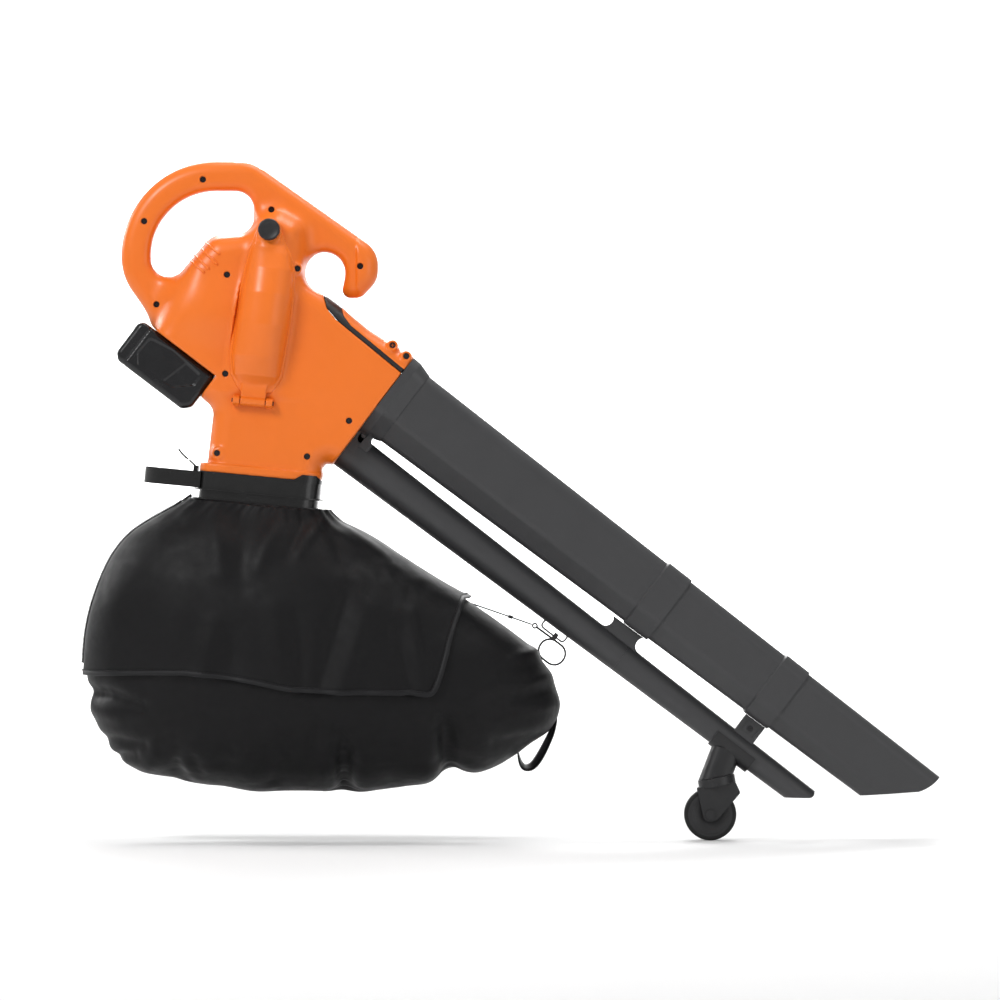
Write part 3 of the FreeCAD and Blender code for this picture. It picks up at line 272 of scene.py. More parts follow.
# ---------- outlines, as rounded corners
def rounded(corners, step=2.0):
    """Points along straight runs and tangent arcs from (x, z, radius) corners, closed."""
    points = []
    count = len(corners)
    for i, (x, z, radius) in enumerate(corners):
        corner = np.array([x, z], float)
        before, after = np.array(corners[i - 1][:2], float), np.array(corners[(i + 1) % count][:2], float)
        a, b = before - corner, after - corner
        a, b = a / np.linalg.norm(a), b / np.linalg.norm(b)
        half = math.acos(np.clip(a @ b, -1, 1)) / 2
        back = radius / math.tan(half)
        centre = corner + (a + b) / np.linalg.norm(a + b) * radius / math.sin(half)
        start, end = corner + a * back - centre, corner + b * back - centre
        turn = math.atan2(start[0] * end[1] - start[1] * end[0], start @ end)
        steps = max(2, int(abs(turn) * radius / step))
        for k in range(steps + 1):
            angle = turn * k / steps
            c, s = math.cos(angle), math.sin(angle)
            points.append(centre + (start[0] * c - start[1] * s, start[0] * s + start[1] * c))
    return np.array(points)


def outline_field(points, a, b):
    """Signed distance from a closed outline in the plane of coordinates a and b: negative inside."""
    a, b = np.broadcast_arrays(a, b)
    best = np.full(a.shape, 1e9)
    inside = np.zeros(a.shape, bool)
    for (ax, az), (bx, bz) in zip(points, np.roll(points, -1, axis=0)):
        dx, dz = bx - ax, bz - az
        length = dx * dx + dz * dz
        if length < 1e-9:
            continue
        t = np.clip(((a - ax) * dx + (b - az) * dz) / length, 0, 1)
        best = np.minimum(best, (a - ax - t * dx) ** 2 + (b - az - t * dz) ** 2)
        if dz:
            inside ^= ((az > b) != (bz > b)) & (a < ax + (b - az) / dz * dx)
    return np.where(inside, -1, 1) * np.sqrt(best)


def spine_corners():
    left, top, nose = -500.0, 873.0, -169.0
    hook_left, hook_right, hook_top = -263.0, -214.0, 754.0
    return [(-459, 668, 14), (left, 726, 75), (left, top, 122), (-332, top, 38), (nose, 757.5, 36),
            (nose - 1, 720, 30), (-192, 697, 14), (-216, 699, 13), (hook_right, hook_top, 23.7),
            (hook_left, hook_top, 23.7), (hook_left, 690, 14), (-300, 640, 14), (-400, 630, 14)]


def grip_hole_corners():
    return [(-462, 835, 84), (-329.5, 835, 24), (-329.5, 780, 22), (-383, 779, 30), (-427, 726, 18),
            (-462, 726, 21)]


def core_corners():
    joint_out, joint_in = tube_point(40, 61), tube_point(40, -110)
    return [(*joint_out, 16), (*joint_in, 16), (-241, 492, 9), (-242, 440, 18), (-392, 452, 18),
            (-380, 555, 18), (-420, 590, 18), (-462, 645, 18), (-424, 706, 60), (-413, 742, 30),
            (-382, 776, 30), (-338, 782, 30), (-300, 808, 20), (-268, 790, 18), (-264, 718, 20),
            (-234, 699, 30), (-182, 656, 60)]


# ---------- solid fields
class Field:
    """Signed distances on a regular grid, in millimetres, negative inside."""

    def __init__(self, low, high, pitch, quick_pitch):
        pitch = pitch
        self.low, self.pitch = np.array(low, float), pitch
        counts = [int((b - a) / pitch) + 1 for a, b in zip(low, high)]
        axes = [a + pitch * np.arange(n) for a, n in zip(low, counts)]
        self.x, self.y, self.z = np.meshgrid(*axes, indexing="ij", sparse=True)

    def from_axis(self, x, z):
        """Distances from the line across the machine at x and z."""
        return np.hypot(self.x - x, self.z - z)

    def plate(self, flat, half, edge):
        """An outline's distances in the middle plane, thickened to both sides, with rounded rims."""
        flat, rise = flat + edge, np.abs(self.y) - half + edge
        outside = np.sqrt(np.maximum(flat, 0) ** 2 + np.maximum(rise, 0) ** 2)
        return outside + np.minimum(np.maximum(flat, rise), 0) - edge

    def outline(self, corners):
        """Distances from an outline of rounded (x, z, radius) corners in the middle plane."""
        return outline_field(rounded(corners), self.x, self.z)

    def capsule(self, a, b, radius):
        """A round bar between points a and b."""
        a, b = np.array(a, float), np.array(b, float)
        way = b - a
        px, py, pz = self.x - a[0], self.y - a[1], self.z - a[2]
        t = np.clip((px * way[0] + py * way[1] + pz * way[2]) / (way @ way), 0, 1)
        return np.sqrt((px - t * way[0]) ** 2 + (py - t * way[1]) ** 2 + (pz - t * way[2]) ** 2) - radius

    def mesh(self, name, values):
        grid = openvdb.FloatGrid()
        grid.copyFromArray(np.ascontiguousarray(values, np.float32))
        points, quads = grid.convertToQuads(0.0)
        points = (points * self.pitch + self.low) * MM
        mesh = bpy.data.meshes.new(name)
        mesh.from_pydata(points.tolist(), [], quads[:, ::-1].tolist())
        return smooth(add_object(name, mesh))


# ---------- housing
WALL = 3.2  # thickness of the moulding
HOOK = (-238.5, 729.5, 24.5)  # the front hook's inner circle: x, z, radius
NECK_HALF = (79, 58)  # the neck flange's half length and half depth
DOCK = (-187.5, -113.4)  # the battery's corner in the tube frame
# Outlines (x, z) of the black trim strip, and the far corners of the cover above it.
STRIP_LOWER = [(-245, 712), (-240.5, 704), (-234.7, 683), (-223.5, 669), (-206.8, 655), (-139.2, 600),
               (-110, 576)]
STRIP_FAR = [(-95, 655), (-195, 691), (-222, 702)]
STRIP_UPPER = [(-218, 700), (-217.5, 687), (-213.7, 673), (-204, 660), (-134.8, 603), (-105, 579)]
VENT_STARTS = [(-393.8, 769.6), (-400.3, 763.8), (-407.3, 754.2), (-411.8, 745.7)]
VENT_ENDS = [(-372.4, 752.9), (-375.1, 739.4), (-385.7, 733.6), (-392, 729.3)]


def soft_max(a, b, soft):
    """Where two fields meet, a rounded rim about soft wide."""
    h = np.clip(0.5 - 0.5 * (b - a) / soft, 0, 1)
    return b + (a - b) * h + soft * h * (1 - h)


def soft_min(a, b, soft):
    """Where two fields join, a fillet about soft wide."""
    h = np.clip(0.5 + 0.5 * (b - a) / soft, 0, 1)
    return b + (a - b) * h - soft * h * (1 - h)


def slab(a, middle, half):
    """Distances from a flat slab across coordinate a."""
    return np.abs(a - middle) - half


def common(*fields):
    """The form inside all of the fields."""
    return reduce(np.maximum, fields)


def without(body, *cutter):
    """The body less what is inside all of the cutter's fields."""
    return np.maximum(body, -common(*cutter))


def local(field, origin, angle):
    """Distances along and across a tilted frame, for every grid point."""
    c, s = math.cos(angle), math.sin(angle)
    dx, dz = field.x - origin[0], field.z - origin[1]
    return dx * c - dz * s, dx * s + dz * c


def housing_field(field):
    """The whole moulded body, before it is split into shells, strip and clamp cover."""
    handles = field.outline(spine_corners())
    spine = field.plate(handles, SPINE + 1.5, 16.0)
    core = field.plate(field.outline(core_corners()), CORE - 2, 26.0)
    motor_rear, motor_front = along(FAN, NECK_ANGLE, -74, 4), along(FAN, NECK_ANGLE, -25, 0)
    barrel = field.capsule((motor_rear[0], 0, motor_rear[1]), (motor_front[0], 0, motor_front[1]), 57.5)
    body = soft_min(core, barrel, 22.0)
    body = soft_min(body, spine, 26.0)
    tip = field.plate(handles, SPINE + 5.5, 20.0)
    body = np.minimum(body, soft_max(tip, -198.0 - field.x, 5.0))
    socket_a, socket_b = tube_point(-84, -82), tube_point(30, -82)
    socket = field.capsule((socket_a[0], 0, socket_a[1]), (socket_b[0], 0, socket_b[1]), 27.0)
    body = soft_min(body, socket, 14.0)
    for x, z in EDGE_SCREWS:
        boss = np.maximum(field.from_axis(x, z) - 6.5, np.abs(field.y) - CORE + 3)
        body = soft_min(body, boss, 7.0)
    body = soft_max(body, -field.outline(grip_hole_corners()), 14.0)
    hook = field.from_axis(*HOOK[:2]) - HOOK[2]
    body = soft_max(body, -hook, 8.0)
    p, t = local(field, NECK, NECK_ANGLE)
    long, deep = NECK_HALF
    oval = (np.abs(p / long) ** 5 + np.abs(field.y / deep) ** 5) ** 0.2
    flange = np.maximum((oval - 1) * deep, np.abs(t - 4.9) - 5.8)
    body = soft_min(body, flange, 3.0)
    u, v = local(field, JOINT, TUBE_ANGLE)
    body = soft_max(body, u, 2.5)
    body = soft_max(body, -0.8 - t, 0.5)
    dock = np.maximum(u - DOCK[0], v - DOCK[1])
    return soft_max(body, -dock, 3.0)


def region_field(field, points):
    """Distances from a region of the middle plane with sharp corners."""
    return outline_field(np.array(points, float), field.x, field.z)


def build_housing():
    """The orange shells: hollow, with screw bosses and wells, ports, switch slot and battery dock."""
    field = Field((-512, -106, 456), (-112, 106, 884), 1.8, 3.0)
    body = housing_field(field)
    corner = region_field(field, STRIP_LOWER + STRIP_FAR)
    body = soft_max(body, -corner, 1.0)
    port_p, port_s = local(field, COVER_HINGE, NECK_ANGLE)
    middle, half = dome_at(port_s)[:2]
    body = soft_min(body, dome_field(port_p, port_s, field.y - 54), 9.0)
    seat = common(slab(port_p, middle, half + 2.8), slab(port_s, 117, 119), field.y + COVER_BASE)
    body = soft_max(body, -seat, 0.8)

    # The moulding is hollow, with a boss round every screw.
    bosses = np.full(body.shape, 1e3)
    for x, z in SCREWS:
        bosses = np.minimum(bosses, field.from_axis(x, z) - BOSS_RADIUS)
    hollow = without(body + WALL, bosses)
    u, v = local(field, JOINT, TUBE_ANGLE)
    p, t = local(field, NECK, NECK_ANGLE)
    slot_u, slot_v = local(field, (-340, 866), math.radians(7))
    inlet = (-u - 24, slab(v, 1, 46), slab(field.y, 0, 43))
    outlet = (slab(p, 3, 62), slab(field.y, 0, 46), t - 30)
    port = (slab(port_p, middle, half - 5), slab(port_s, 113, 79), field.y + 25)
    switch_slot = (slab(slot_u, 3, 17), slab(field.y, 0, 7), -slot_v - 4.5)
    shell = without(body, hollow)
    for cutter in (inlet, outlet, port, switch_slot):
        shell = without(shell, *cutter)
    housing = field.mesh("housing_shell", shell)
    sink_screws(housing)
    piece(housing, "machine", "orange", "housing_left", "housing_right")
    build_vents(housing)
    build_strip()
    build_hinge()


def surface_tree(obj):
    """A search tree of an object's shown surface."""
    return BVHTree.FromObject(obj, bpy.context.evaluated_depsgraph_get())


def sink_screws(housing):
    """Round wells over the screws, cut down to their heads."""
    tree = surface_tree(NODES["housing_screws"])
    cutter = bmesh.new()
    for x, z in SCREWS:
        # Beside the cross slot, a ray finds the flat of the head.
        hit = tree.ray_cast(metres(x + 2.8, z, -200), Vector((0, 1, 0)))[0]
        bottom = (hit.y if hit else -0.02) + 0.0022
        place = Matrix.Translation((x * MM, (bottom - 0.12) / 2, z * MM))
        bmesh.ops.create_cone(cutter, cap_ends=True, segments=40, radius1=WELL_RADIUS * MM,
                              radius2=WELL_RADIUS * MM, depth=bottom + 0.12,
                              matrix=place @ Matrix.Rotation(math.pi / 2, 4, "X"))
    mesh = bpy.data.meshes.new("wells")
    cutter.to_mesh(mesh)
    tool = add_object("wells", mesh)
    cut = housing.modifiers.new("wells", "BOOLEAN")
    cut.operation, cut.solver, cut.object = "DIFFERENCE", "EXACT", tool
    apply_modifiers(housing)
    bpy.data.objects.remove(tool)


def tube_mesh(name, runs, radius, sides=10):
    """Round bars along lists of points, as one mesh with rounded ends."""
    bm = bmesh.new()
    for points in runs:
        points = [Vector(p) for p in points]
        last = len(points) - 1
        way = [(points[min(i + 1, last)] - points[max(i - 1, 0)]).normalized() for i in range(last + 1)]
        across = way[0].orthogonal().normalized()
        rings = []
        full = [(p, w, 1) for p, w in zip(points, way)]
        full.insert(0, (points[0] - way[0] * radius * 0.7, way[0], 0.55))
        full.append((points[-1] + way[-1] * radius * 0.7, way[-1], 0.55))
        for place, axis, share in full:
            across = (across - axis * across.dot(axis)).normalized()
            other = axis.cross(across)
            turns = [2 * math.pi * k / sides for k in range(sides)]
            rings.append([bm.verts.new(place + (across * math.cos(a) + other * math.sin(a)) * radius * share)
                          for a in turns])
        join_rings(bm, rings)
    return mesh_object(name, bm)


def build_vents(housing):
    """Four raised louvres over the motor, wrapped round the rim of the finger hole."""
    tree = surface_tree(housing)
    ribs = []
    for side in (-1, 1):
        for start, end in zip(VENT_STARTS, VENT_ENDS):
            points = []
            for k in range(14):
                t = 0.1 + 0.9 * k / 13
                x, z = start[0] + (end[0] - start[0]) * t, start[1] + (end[1] - start[1]) * t
                hit = tree.ray_cast(metres(x, z, side * 200), Vector((0, -side, 0)))[0]
                if hit:
                    points.append(hit + Vector((0, side * 0.0006, 0)))
            if len(points) > 3:
                ribs.append(points)
    ribs = tube_mesh("vent_ribs", ribs, 0.0018)
    piece(ribs, "machine", "orange")


def build_strip():
    """The black trim strip, and the orange clamp cover above it, cut from the same form."""
    field = Field((-262, -64, 586), (-112, 64, 716), 1.2, 2.4)
    body = housing_field(field)
    # The strip runs on a little under the cover, so that no light shows through their joint.
    strip = region_field(field, STRIP_LOWER + [(x + 4, z + 5) for x, z in STRIP_UPPER[::-1]])
    cover = region_field(field, STRIP_UPPER + STRIP_FAR[:2])
    trim = field.mesh("trim", soft_max(body + 0.6, strip + 0.4, 1.0))
    piece(trim, "machine", "black_trim", "trim_strip")
    screw_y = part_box("clamp_screws")[1][1] / MM
    clamp = body - 0.3
    for x, z in CLAMP_SCREWS:
        boss = np.maximum(field.from_axis(x, z) - 6.6, np.abs(field.y) - screw_y - 1.2)
        clamp = soft_min(clamp, boss, 6.0)
    clamp = soft_max(clamp, cover + 0.4, 1.6)
    for x, z in CLAMP_SCREWS:
        clamp = without(clamp, field.from_axis(x, z) - WELL_RADIUS, screw_y - 3.4 - np.abs(field.y))
    clamp = field.mesh("clamp_cover", clamp)
    piece(clamp, "machine", "orange", "tube_clamp_cover")


def build_root():
    """The web between both tubes at the housing, which ends in a hollow curve, with a small screw boss."""
    field = Field((-196, -30, 486), (-128, 30, 556), 0.9, 1.8)
    u, v = local(field, JOINT, TUBE_ANGLE)
    web = np.maximum(slab(u, 13.2, 12.8), slab(v, -60, 22))
    web = soft_max(web, 6.4 - np.hypot(u - 26.5, v + 56.5), 1.0)
    web = soft_max(web, np.abs(field.y) - 22, 3.0)
    from_screw = np.hypot(u - 9.5, v + 58)
    web = without(web, from_screw - 3.4, 20.5 - np.abs(field.y))
    web = np.minimum(web, common(from_screw - 2.4, slab(field.y, 0, 21.4)))
    piece(field.mesh("tube_root", web), "machine", "grey_tube")


# ---------- inspection cover
# The half-pipe along its length: height above the hinge, middle, half width, rise.
DOME = [(10, 2, 14, 2), (20, 2, 22, 7), (34, 1, 30, 19), (58, 0, 33.5, 30), (100, 3, 34, 38),
        (140, 5, 33, 37), (172, 5.5, 30, 29), (192, 4, 25, 19), (206, 2, 19, 11), (216, 1, 15, 9)]
DOME_POWER = 2.2  # 2 is a round section, and more is fuller
KNOB_HEIGHT = 221  # of the knob's axis, above the hinge
PIN_OUT = 7.5  # of the hinge pin, in front of the cover's back


def dome_at(s):
    """The half-pipe's middle, half width and rise at height s above the hinge."""
    table = np.array(DOME, float)
    return [np.interp(s, table[:, 0], table[:, k]) for k in (1, 2, 3)]


def dome_field(p, s, out):
    """Distances from the half-pipe that covers the impeller, for heights out from its base."""
    middle, half, rise = dome_at(s)
    across = (np.abs(p - middle) / half) ** DOME_POWER + (np.maximum(out, 0) / rise) ** DOME_POWER
    dome = (across ** (1 / DOME_POWER) - 1) * np.minimum(half, rise) * 0.8
    return soft_max(dome, np.abs(s - 112) - 102, 8.0)


def build_cover():
    """The hinged half-pipe over the impeller, hollow behind, with its rim, knob boss and hinge leaf."""
    field = Field((-392, -106, 546), (-268, -52, 806), 1.3, 2.4)
    p, s = local(field, COVER_HINGE, NECK_ANGLE)
    out = -field.y - COVER_BASE
    middle, half = dome_at(s)[:2]
    dome = dome_field(p, s, out)
    rim = common(slab(p, middle, half + 2.6), slab(s, 114, 100), out - 2.0)
    from_knob = np.hypot(p, s - KNOB_HEIGHT)
    boss = np.maximum(from_knob - 15.5, out - 9.0)
    neck = np.maximum(from_knob - 11 + 0.35 * np.maximum(out - 9, 0), out - 9.3)
    cover = soft_min(soft_min(dome, rim, 3.0), soft_min(boss, neck, 2.0), 9.0)
    leaf = common(slab(p, 0, 16), slab(s, 10, 12), slab(out, 4.5, 3.2))
    from_pin = np.hypot(s, out - PIN_OUT)
    barrel = np.maximum(from_pin - 5.5, slab(p, 0, 16))
    cover = soft_min(cover, np.minimum(leaf, barrel), 3.0)
    cover = without(cover, dome + 2.6, slab(s, 110, 92), -out - 5)
    cover = common(cover, -out, 1.8 - from_pin)
    piece(field.mesh("cover_shell", cover), "cover", "orange", "inspection_cover")


def build_hinge():
    """The two knuckles on the housing that carry the hinge pin."""
    field = Field((-364, -72, 546), (-294, -48, 580), 0.8, 1.6)
    p, s = local(field, COVER_HINGE, NECK_ANGLE)
    out = -field.y - COVER_BASE
    across = np.abs(np.abs(p) - 21.2) - 4.4
    knuckle = soft_min(np.hypot(s, out - PIN_OUT) - 5.6, np.maximum(np.abs(s) - 6.5, out - 5), 2.5)
    knuckle = soft_max(soft_max(knuckle, across, 1.2), -out - 5, 1.0)
    piece(field.mesh("hinge_knuckles", knuckle), "machine", "orange")


# ---------- bag
# Level sections of the filled bag: height, left end, right end, half depth.
BAG = [(447, -397, -243, 60), (436, -404, -241, 62), (429, -415, -240, 64), (421, -432, -236, 68),
       (412, -446, -228, 73), (388, -480, -191, 88), (362, -503, -152, 101), (335, -517, -108, 111),
       (305, -528, -60, 117), (270, -536, -10, 120), (240, -539, 26, 122), (214, -539, 44, 123),
       (190, -535, 54, 123), (166, -531, 55, 121), (142, -523, 41, 116), (120, -513, 18, 107),
       (103, -503, -12, 94)]
# The sagging underside, and the flap's hem: below to (-99, 188), then up its front edge, as (x, z).
BAG_BOTTOM = [(-510, 97), (-463, 87), (-425, 82), (-386, 79), (-309, 74), (-244, 74), (-224, 77),
              (-213, 86), (-203, 78), (-154, 77), (-112, 78), (-94, 85), (-80, 101), (-68, 96),
              (-54, 87), (-19, 93), (20, 112)]
HEM = [(-560, 214), (-480, 215), (-411, 216), (-335, 206), (-270, 194), (-200, 191), (-141, 190), (-99, 188),
       (-90, 205), (-82, 232), (-75, 262), (-61, 308), (-40, 330)]
FLAP_CORNER = 308  # height of the flap's corner, where the cord starts
MOUTH_CUT = 35.2  # from the neck's end down to the lip of the bag's frame
CLOTH = 0.0009  # thickness of the fabric, in metres
# Soft folds in the cloth: from (x, z) to (x, z), half width, height outwards, in millimetres.
FOLDS = [(-377, 431, -369, 345, 13, 4.5), (-341, 425, -338, 330, 15, -3.5), (-287, 424, -324, 350, 11, 4.5),
         (-262, 410, -285, 362, 8, -3.0), (-246, 408, -268, 372, 7, 3.2), (-232, 398, -205, 345, 10, -2.8),
         (-205, 398, -150, 350, 9, 2.6), (-378, 280, -391, 219, 12, 4.0), (-352, 270, -352, 217, 12, -3.0),
         (-206, 325, -241, 203, 11, -4.4), (-180, 300, -212, 200, 11, 3.2), (-128, 292, -108, 200, 8, 4.2),
         (-146, 270, -128, 196, 8, -3.2), (-470, 330, -478, 226, 20, -2.6), (-440, 372, -505, 300, 20, 2.8),
         (-418, 330, -430, 222, 16, 2.4), (-300, 300, -290, 205, 14, 2.6), (-270, 290, -262, 200, 10, -2.6)]
LOW_FOLDS = [(-82, 150, -78, 84, 11, -8.0), (-98, 140, -108, 84, 12, 4.5), (-212, 120, -212, 70, 10, -6.0),
             (-232, 122, -240, 76, 13, 4.0), (-190, 118, -186, 76, 12, 3.0), (-330, 120, -322, 74, 20, 3.0),
             (-360, 118, -366, 76, 14, -3.0), (-450, 128, -470, 86, 14, 3.4), (-425, 122, -430, 80, 12, -3.2),
             (-552, 196, -470, 176, 8, -6.5), (-545, 172, -500, 160, 10, 3.6),
             (-534, 133, -468, 124, 8, -5.5), (-64, 176, 34, 232, 14, 4.0),
             (-518, 104, -480, 112, 7, -5.0), (50, 232, -8, 214, 9, -4.0), (54, 214, -2, 196, 7, 3.4),
             (50, 246, 4, 236, 7, 3.0), (58, 196, 6, 182, 8, -3.4), (60, 176, 10, 168, 8, 2.6),
             (36, 132, -18, 128, 9, -4.0), (22, 116, -30, 104, 9, 3.0), (-50, 230, -36, 120, 26, 2.8)]


def spline(points, at):
    """A smooth curve of value against position, through a few points."""
    x, y = np.array(points, float).T[:2]
    if x[0] > x[-1]:
        x, y = x[::-1], y[::-1]
    slope = np.gradient(y, x)
    k = np.clip(np.searchsorted(x, at) - 1, 0, len(x) - 2)
    h = x[k + 1] - x[k]
    t = np.clip((at - x[k]) / h, 0, 1)
    a, b = y[k], y[k + 1]
    return ((1 + 2 * t) * (1 - t) ** 2 * a + t * (1 - t) ** 2 * h * slope[k]
            + t * t * (3 - 2 * t) * b + t * t * (t - 1) * h * slope[k + 1])


def bag_points(rows, columns):
    """The bag as rows of points from its mouth down and in under its bottom."""
    table = np.array(BAG, float)
    top, bottom = table[0, 0], table[-1, 0]
    out = []
    for r in range(rows):
        z = top - (top - bottom) * r / (rows - 1)
        left, right, depth = [spline(table[:, (0, k)], np.array([z]))[0] for k in (1, 2, 3)]
        out.append((z, (left + right) / 2, (right - left) / 2, depth))
    z, middle, half, depth = out[-1]
    for k in range(1, 9):
        turn = math.pi / 2 * k / 8
        shrink = math.cos(turn) ** 0.75
        out.append((z - 27 * math.sin(turn), middle - 6 * math.sin(turn), max(half * shrink, 8),
                    max(depth * shrink, 5)))
    points = np.zeros((len(out), columns, 3))
    angle = 2 * math.pi * np.arange(columns) / columns
    for i, (z, middle, half, depth) in enumerate(out):
        # The sections are boxy at the mouth and rounder further down.
        power = 2 / (3.2 - 0.9 * min(max((top - z) / 90, 0), 1))
        c, s = np.cos(angle), np.sin(angle)
        x = middle + half * np.sign(c) * np.abs(c) ** power
        y = depth * np.sign(s) * np.abs(s) ** power
        high = z - (x - NECK[0]) * math.tan(NECK_ANGLE) * max(0, 1 - (top - z) / 30)
        sink = np.clip((150 - z) / 74, 0, 1) ** 1.5
        points[i] = np.stack([x, y, high + sink * (spline(BAG_BOTTOM, x) - 76)], axis=1)
    return points


def grid_mesh(name, points, cap=False):
    """A mesh of a closed grid of rows of points, in millimetres."""
    rows, columns = points.shape[:2]
    faces = [(i * columns + k, i * columns + (k + 1) % columns, (i + 1) * columns + (k + 1) % columns,
              (i + 1) * columns + k) for i in range(rows - 1) for k in range(columns)]
    if cap:
        faces.append(tuple((rows - 1) * columns + k for k in range(columns))[::-1])
    mesh = bpy.data.meshes.new(name)
    mesh.from_pydata((points.reshape(-1, 3) * MM).tolist(), [], faces)
    return smooth(add_object(name, mesh))


def vertex_array(mesh, normals=False):
    """The mesh's vertices, or their normals, as an array."""
    values = np.zeros(len(mesh.vertices) * 3, np.float32)
    if normals:
        mesh.vertex_normals.foreach_get("vector", values)
    else:
        mesh.vertices.foreach_get("co", values)
    return values.reshape(-1, 3).astype(float)


def set_vertices(mesh, points):
    mesh.vertices.foreach_set("co", np.ascontiguousarray(points, np.float32).ravel())
    mesh.update()


def fold(obj, folds, shift=0.0):
    """Raises and sinks soft folds along the object's normals, on both faces of the bag."""
    points, normals = vertex_array(obj.data) / MM, vertex_array(obj.data, normals=True)
    rise = np.zeros(len(points))
    for x0, z0, x1, z1, width, height in folds:
        for face in (-1, 1):
            move = shift if face > 0 else 0.0
            ax, bx = x0 + move, x1 + move * 0.6
            way = np.array([bx - ax, z1 - z0])
            length = np.linalg.norm(way)
            t = np.clip(((points[:, 0] - ax) * way[0] + (points[:, 2] - z0) * way[1]) / length ** 2, 0, 1)
            gap = np.hypot(points[:, 0] - ax - t * way[0], points[:, 2] - z0 - t * way[1])
            lean = 0.55 + 0.45 * np.sin(math.pi * np.clip(t, 0.05, 0.95))
            on_face = 1 / (1 + np.exp(-face * points[:, 1] / 14))
            rise += height * lean * np.exp(-(gap / width) ** 2) * on_face
    set_vertices(obj.data, (points + normals * rise[:, None]) * MM)
    return obj


def ripple(points, seed, size):
    """A smooth value from -1 to 1 that wanders with place, the same every run."""
    rng = np.random.default_rng(seed)
    total = np.zeros(len(points))
    for k in range(7):
        wave = rng.normal(size=3)
        wave *= 2 * math.pi / size / np.linalg.norm(wave) * (0.6 + 0.2 * k)
        total += np.sin(points @ wave + rng.uniform(0, 6.28)) / (1 + 0.35 * k)
    return total / 3


def simulate_cloth(obj, cap, pressure, spare):
    """Lets the cloth swell and buckle, without moving any point further than cap, in millimetres."""
    rest = vertex_array(obj.data)
    # The cloth is held round its mouth, and swells fully from 50 mm below it.
    depth = 0.423 - 0.1 * (rest[:, 0] + 0.32) - rest[:, 2]
    obj.vertex_groups.new(name="mouth").add(np.flatnonzero(depth < 0).tolist(), 1.0, "REPLACE")
    cloth = obj.modifiers.new("cloth", "CLOTH")
    settings = {"vertex_group_mass": "mouth", "quality": 6, "mass": 0.15, "tension_stiffness": 12,
                "compression_stiffness": 12, "shear_stiffness": 5, "bending_stiffness": 1.2,
                "use_pressure": True, "uniform_pressure_force": pressure, "shrink_min": -spare}
    for key, value in settings.items():
        setattr(cloth.settings, key, value)
    cloth.settings.effector_weights.gravity = 0
    cloth.point_cache.frame_end = 22
    for frame_number in range(1, 21):
        bpy.context.scene.frame_set(frame_number)
    apply_modifiers(obj)
    bpy.context.scene.frame_set(1)
    moved = (vertex_array(obj.data) - rest) / MM
    length = np.linalg.norm(moved, axis=1, keepdims=True)
    moved *= cap * np.tanh(length / cap) / np.maximum(length, 1e-6)
    moved *= np.clip(depth / 0.05, 0, 1)[:, None]
    set_vertices(obj.data, rest + moved * MM)
    return obj


def relax(obj, times, strength):
    """Smooths a mesh evenly."""
    mod = obj.modifiers.new("relax", "SMOOTH")
    mod.iterations, mod.factor = times, strength
    return apply_modifiers(obj)


def build_bag():
    """The filled bag: a swollen cloth shell with folds, then its flap, its open mouth, zip and loop."""
    points = bag_points(70, 200)
    bag = grid_mesh("bag_shell", points, cap=True)
    normals = vertex_array(bag.data, normals=True)
    co = vertex_array(bag.data)
    set_vertices(bag.data, co + normals * (ripple(co, 4, 0.16) * 0.0022 - 0.0035)[:, None])
    remesh = bag.modifiers.new("remesh", "REMESH")
    remesh.mode, remesh.voxel_size = "VOXEL", 0.005
    # The remesh needs a closed form, so the mouth is capped first.
    close_mouth(bag, points.shape[1])
    apply_modifiers(bag)
    simulate_cloth(bag, cap=7.0, pressure=2.5, spare=0.02)
    relax(bag, times=2, strength=0.5)
    bag.modifiers.new("subdivide", "SUBSURF").levels = 1
    apply_modifiers(bag)
    fold(bag, LOW_FOLDS, -14.0)
    fold(bag, FOLDS, 16.0)
    flap = build_flap(bag)
    open_mouth(bag)
    piece(bag, "bag", "bag_fabric", "leaf_bag")
    build_zip(flap)
    build_loop()


def close_mouth(obj, columns):
    """Caps the bag's first row of points."""
    bm = bmesh.new()
    bm.from_mesh(obj.data)
    bm.verts.ensure_lookup_table()
    bm.faces.new([bm.verts[k] for k in range(columns)])
    bmesh.ops.recalc_face_normals(bm, faces=bm.faces)
    bm.to_mesh(obj.data)


def open_mouth(obj):
    """Cuts the bag open level with the lip of its frame and gives the cloth its thickness."""
    bm = bmesh.new()
    bm.from_mesh(obj.data)
    up = Vector((math.sin(NECK_ANGLE), 0, math.cos(NECK_ANGLE)))
    rim = metres(*NECK) - up * MOUTH_CUT * MM
    everything = bm.verts[:] + bm.edges[:] + bm.faces[:]
    bmesh.ops.bisect_plane(bm, geom=everything, plane_co=rim, plane_no=up, clear_outer=True)
    bm.to_mesh(obj.data)
    cloth = obj.modifiers.new("cloth", "SOLIDIFY")
    cloth.thickness, cloth.offset = CLOTH, -1
    smooth(apply_modifiers(obj))


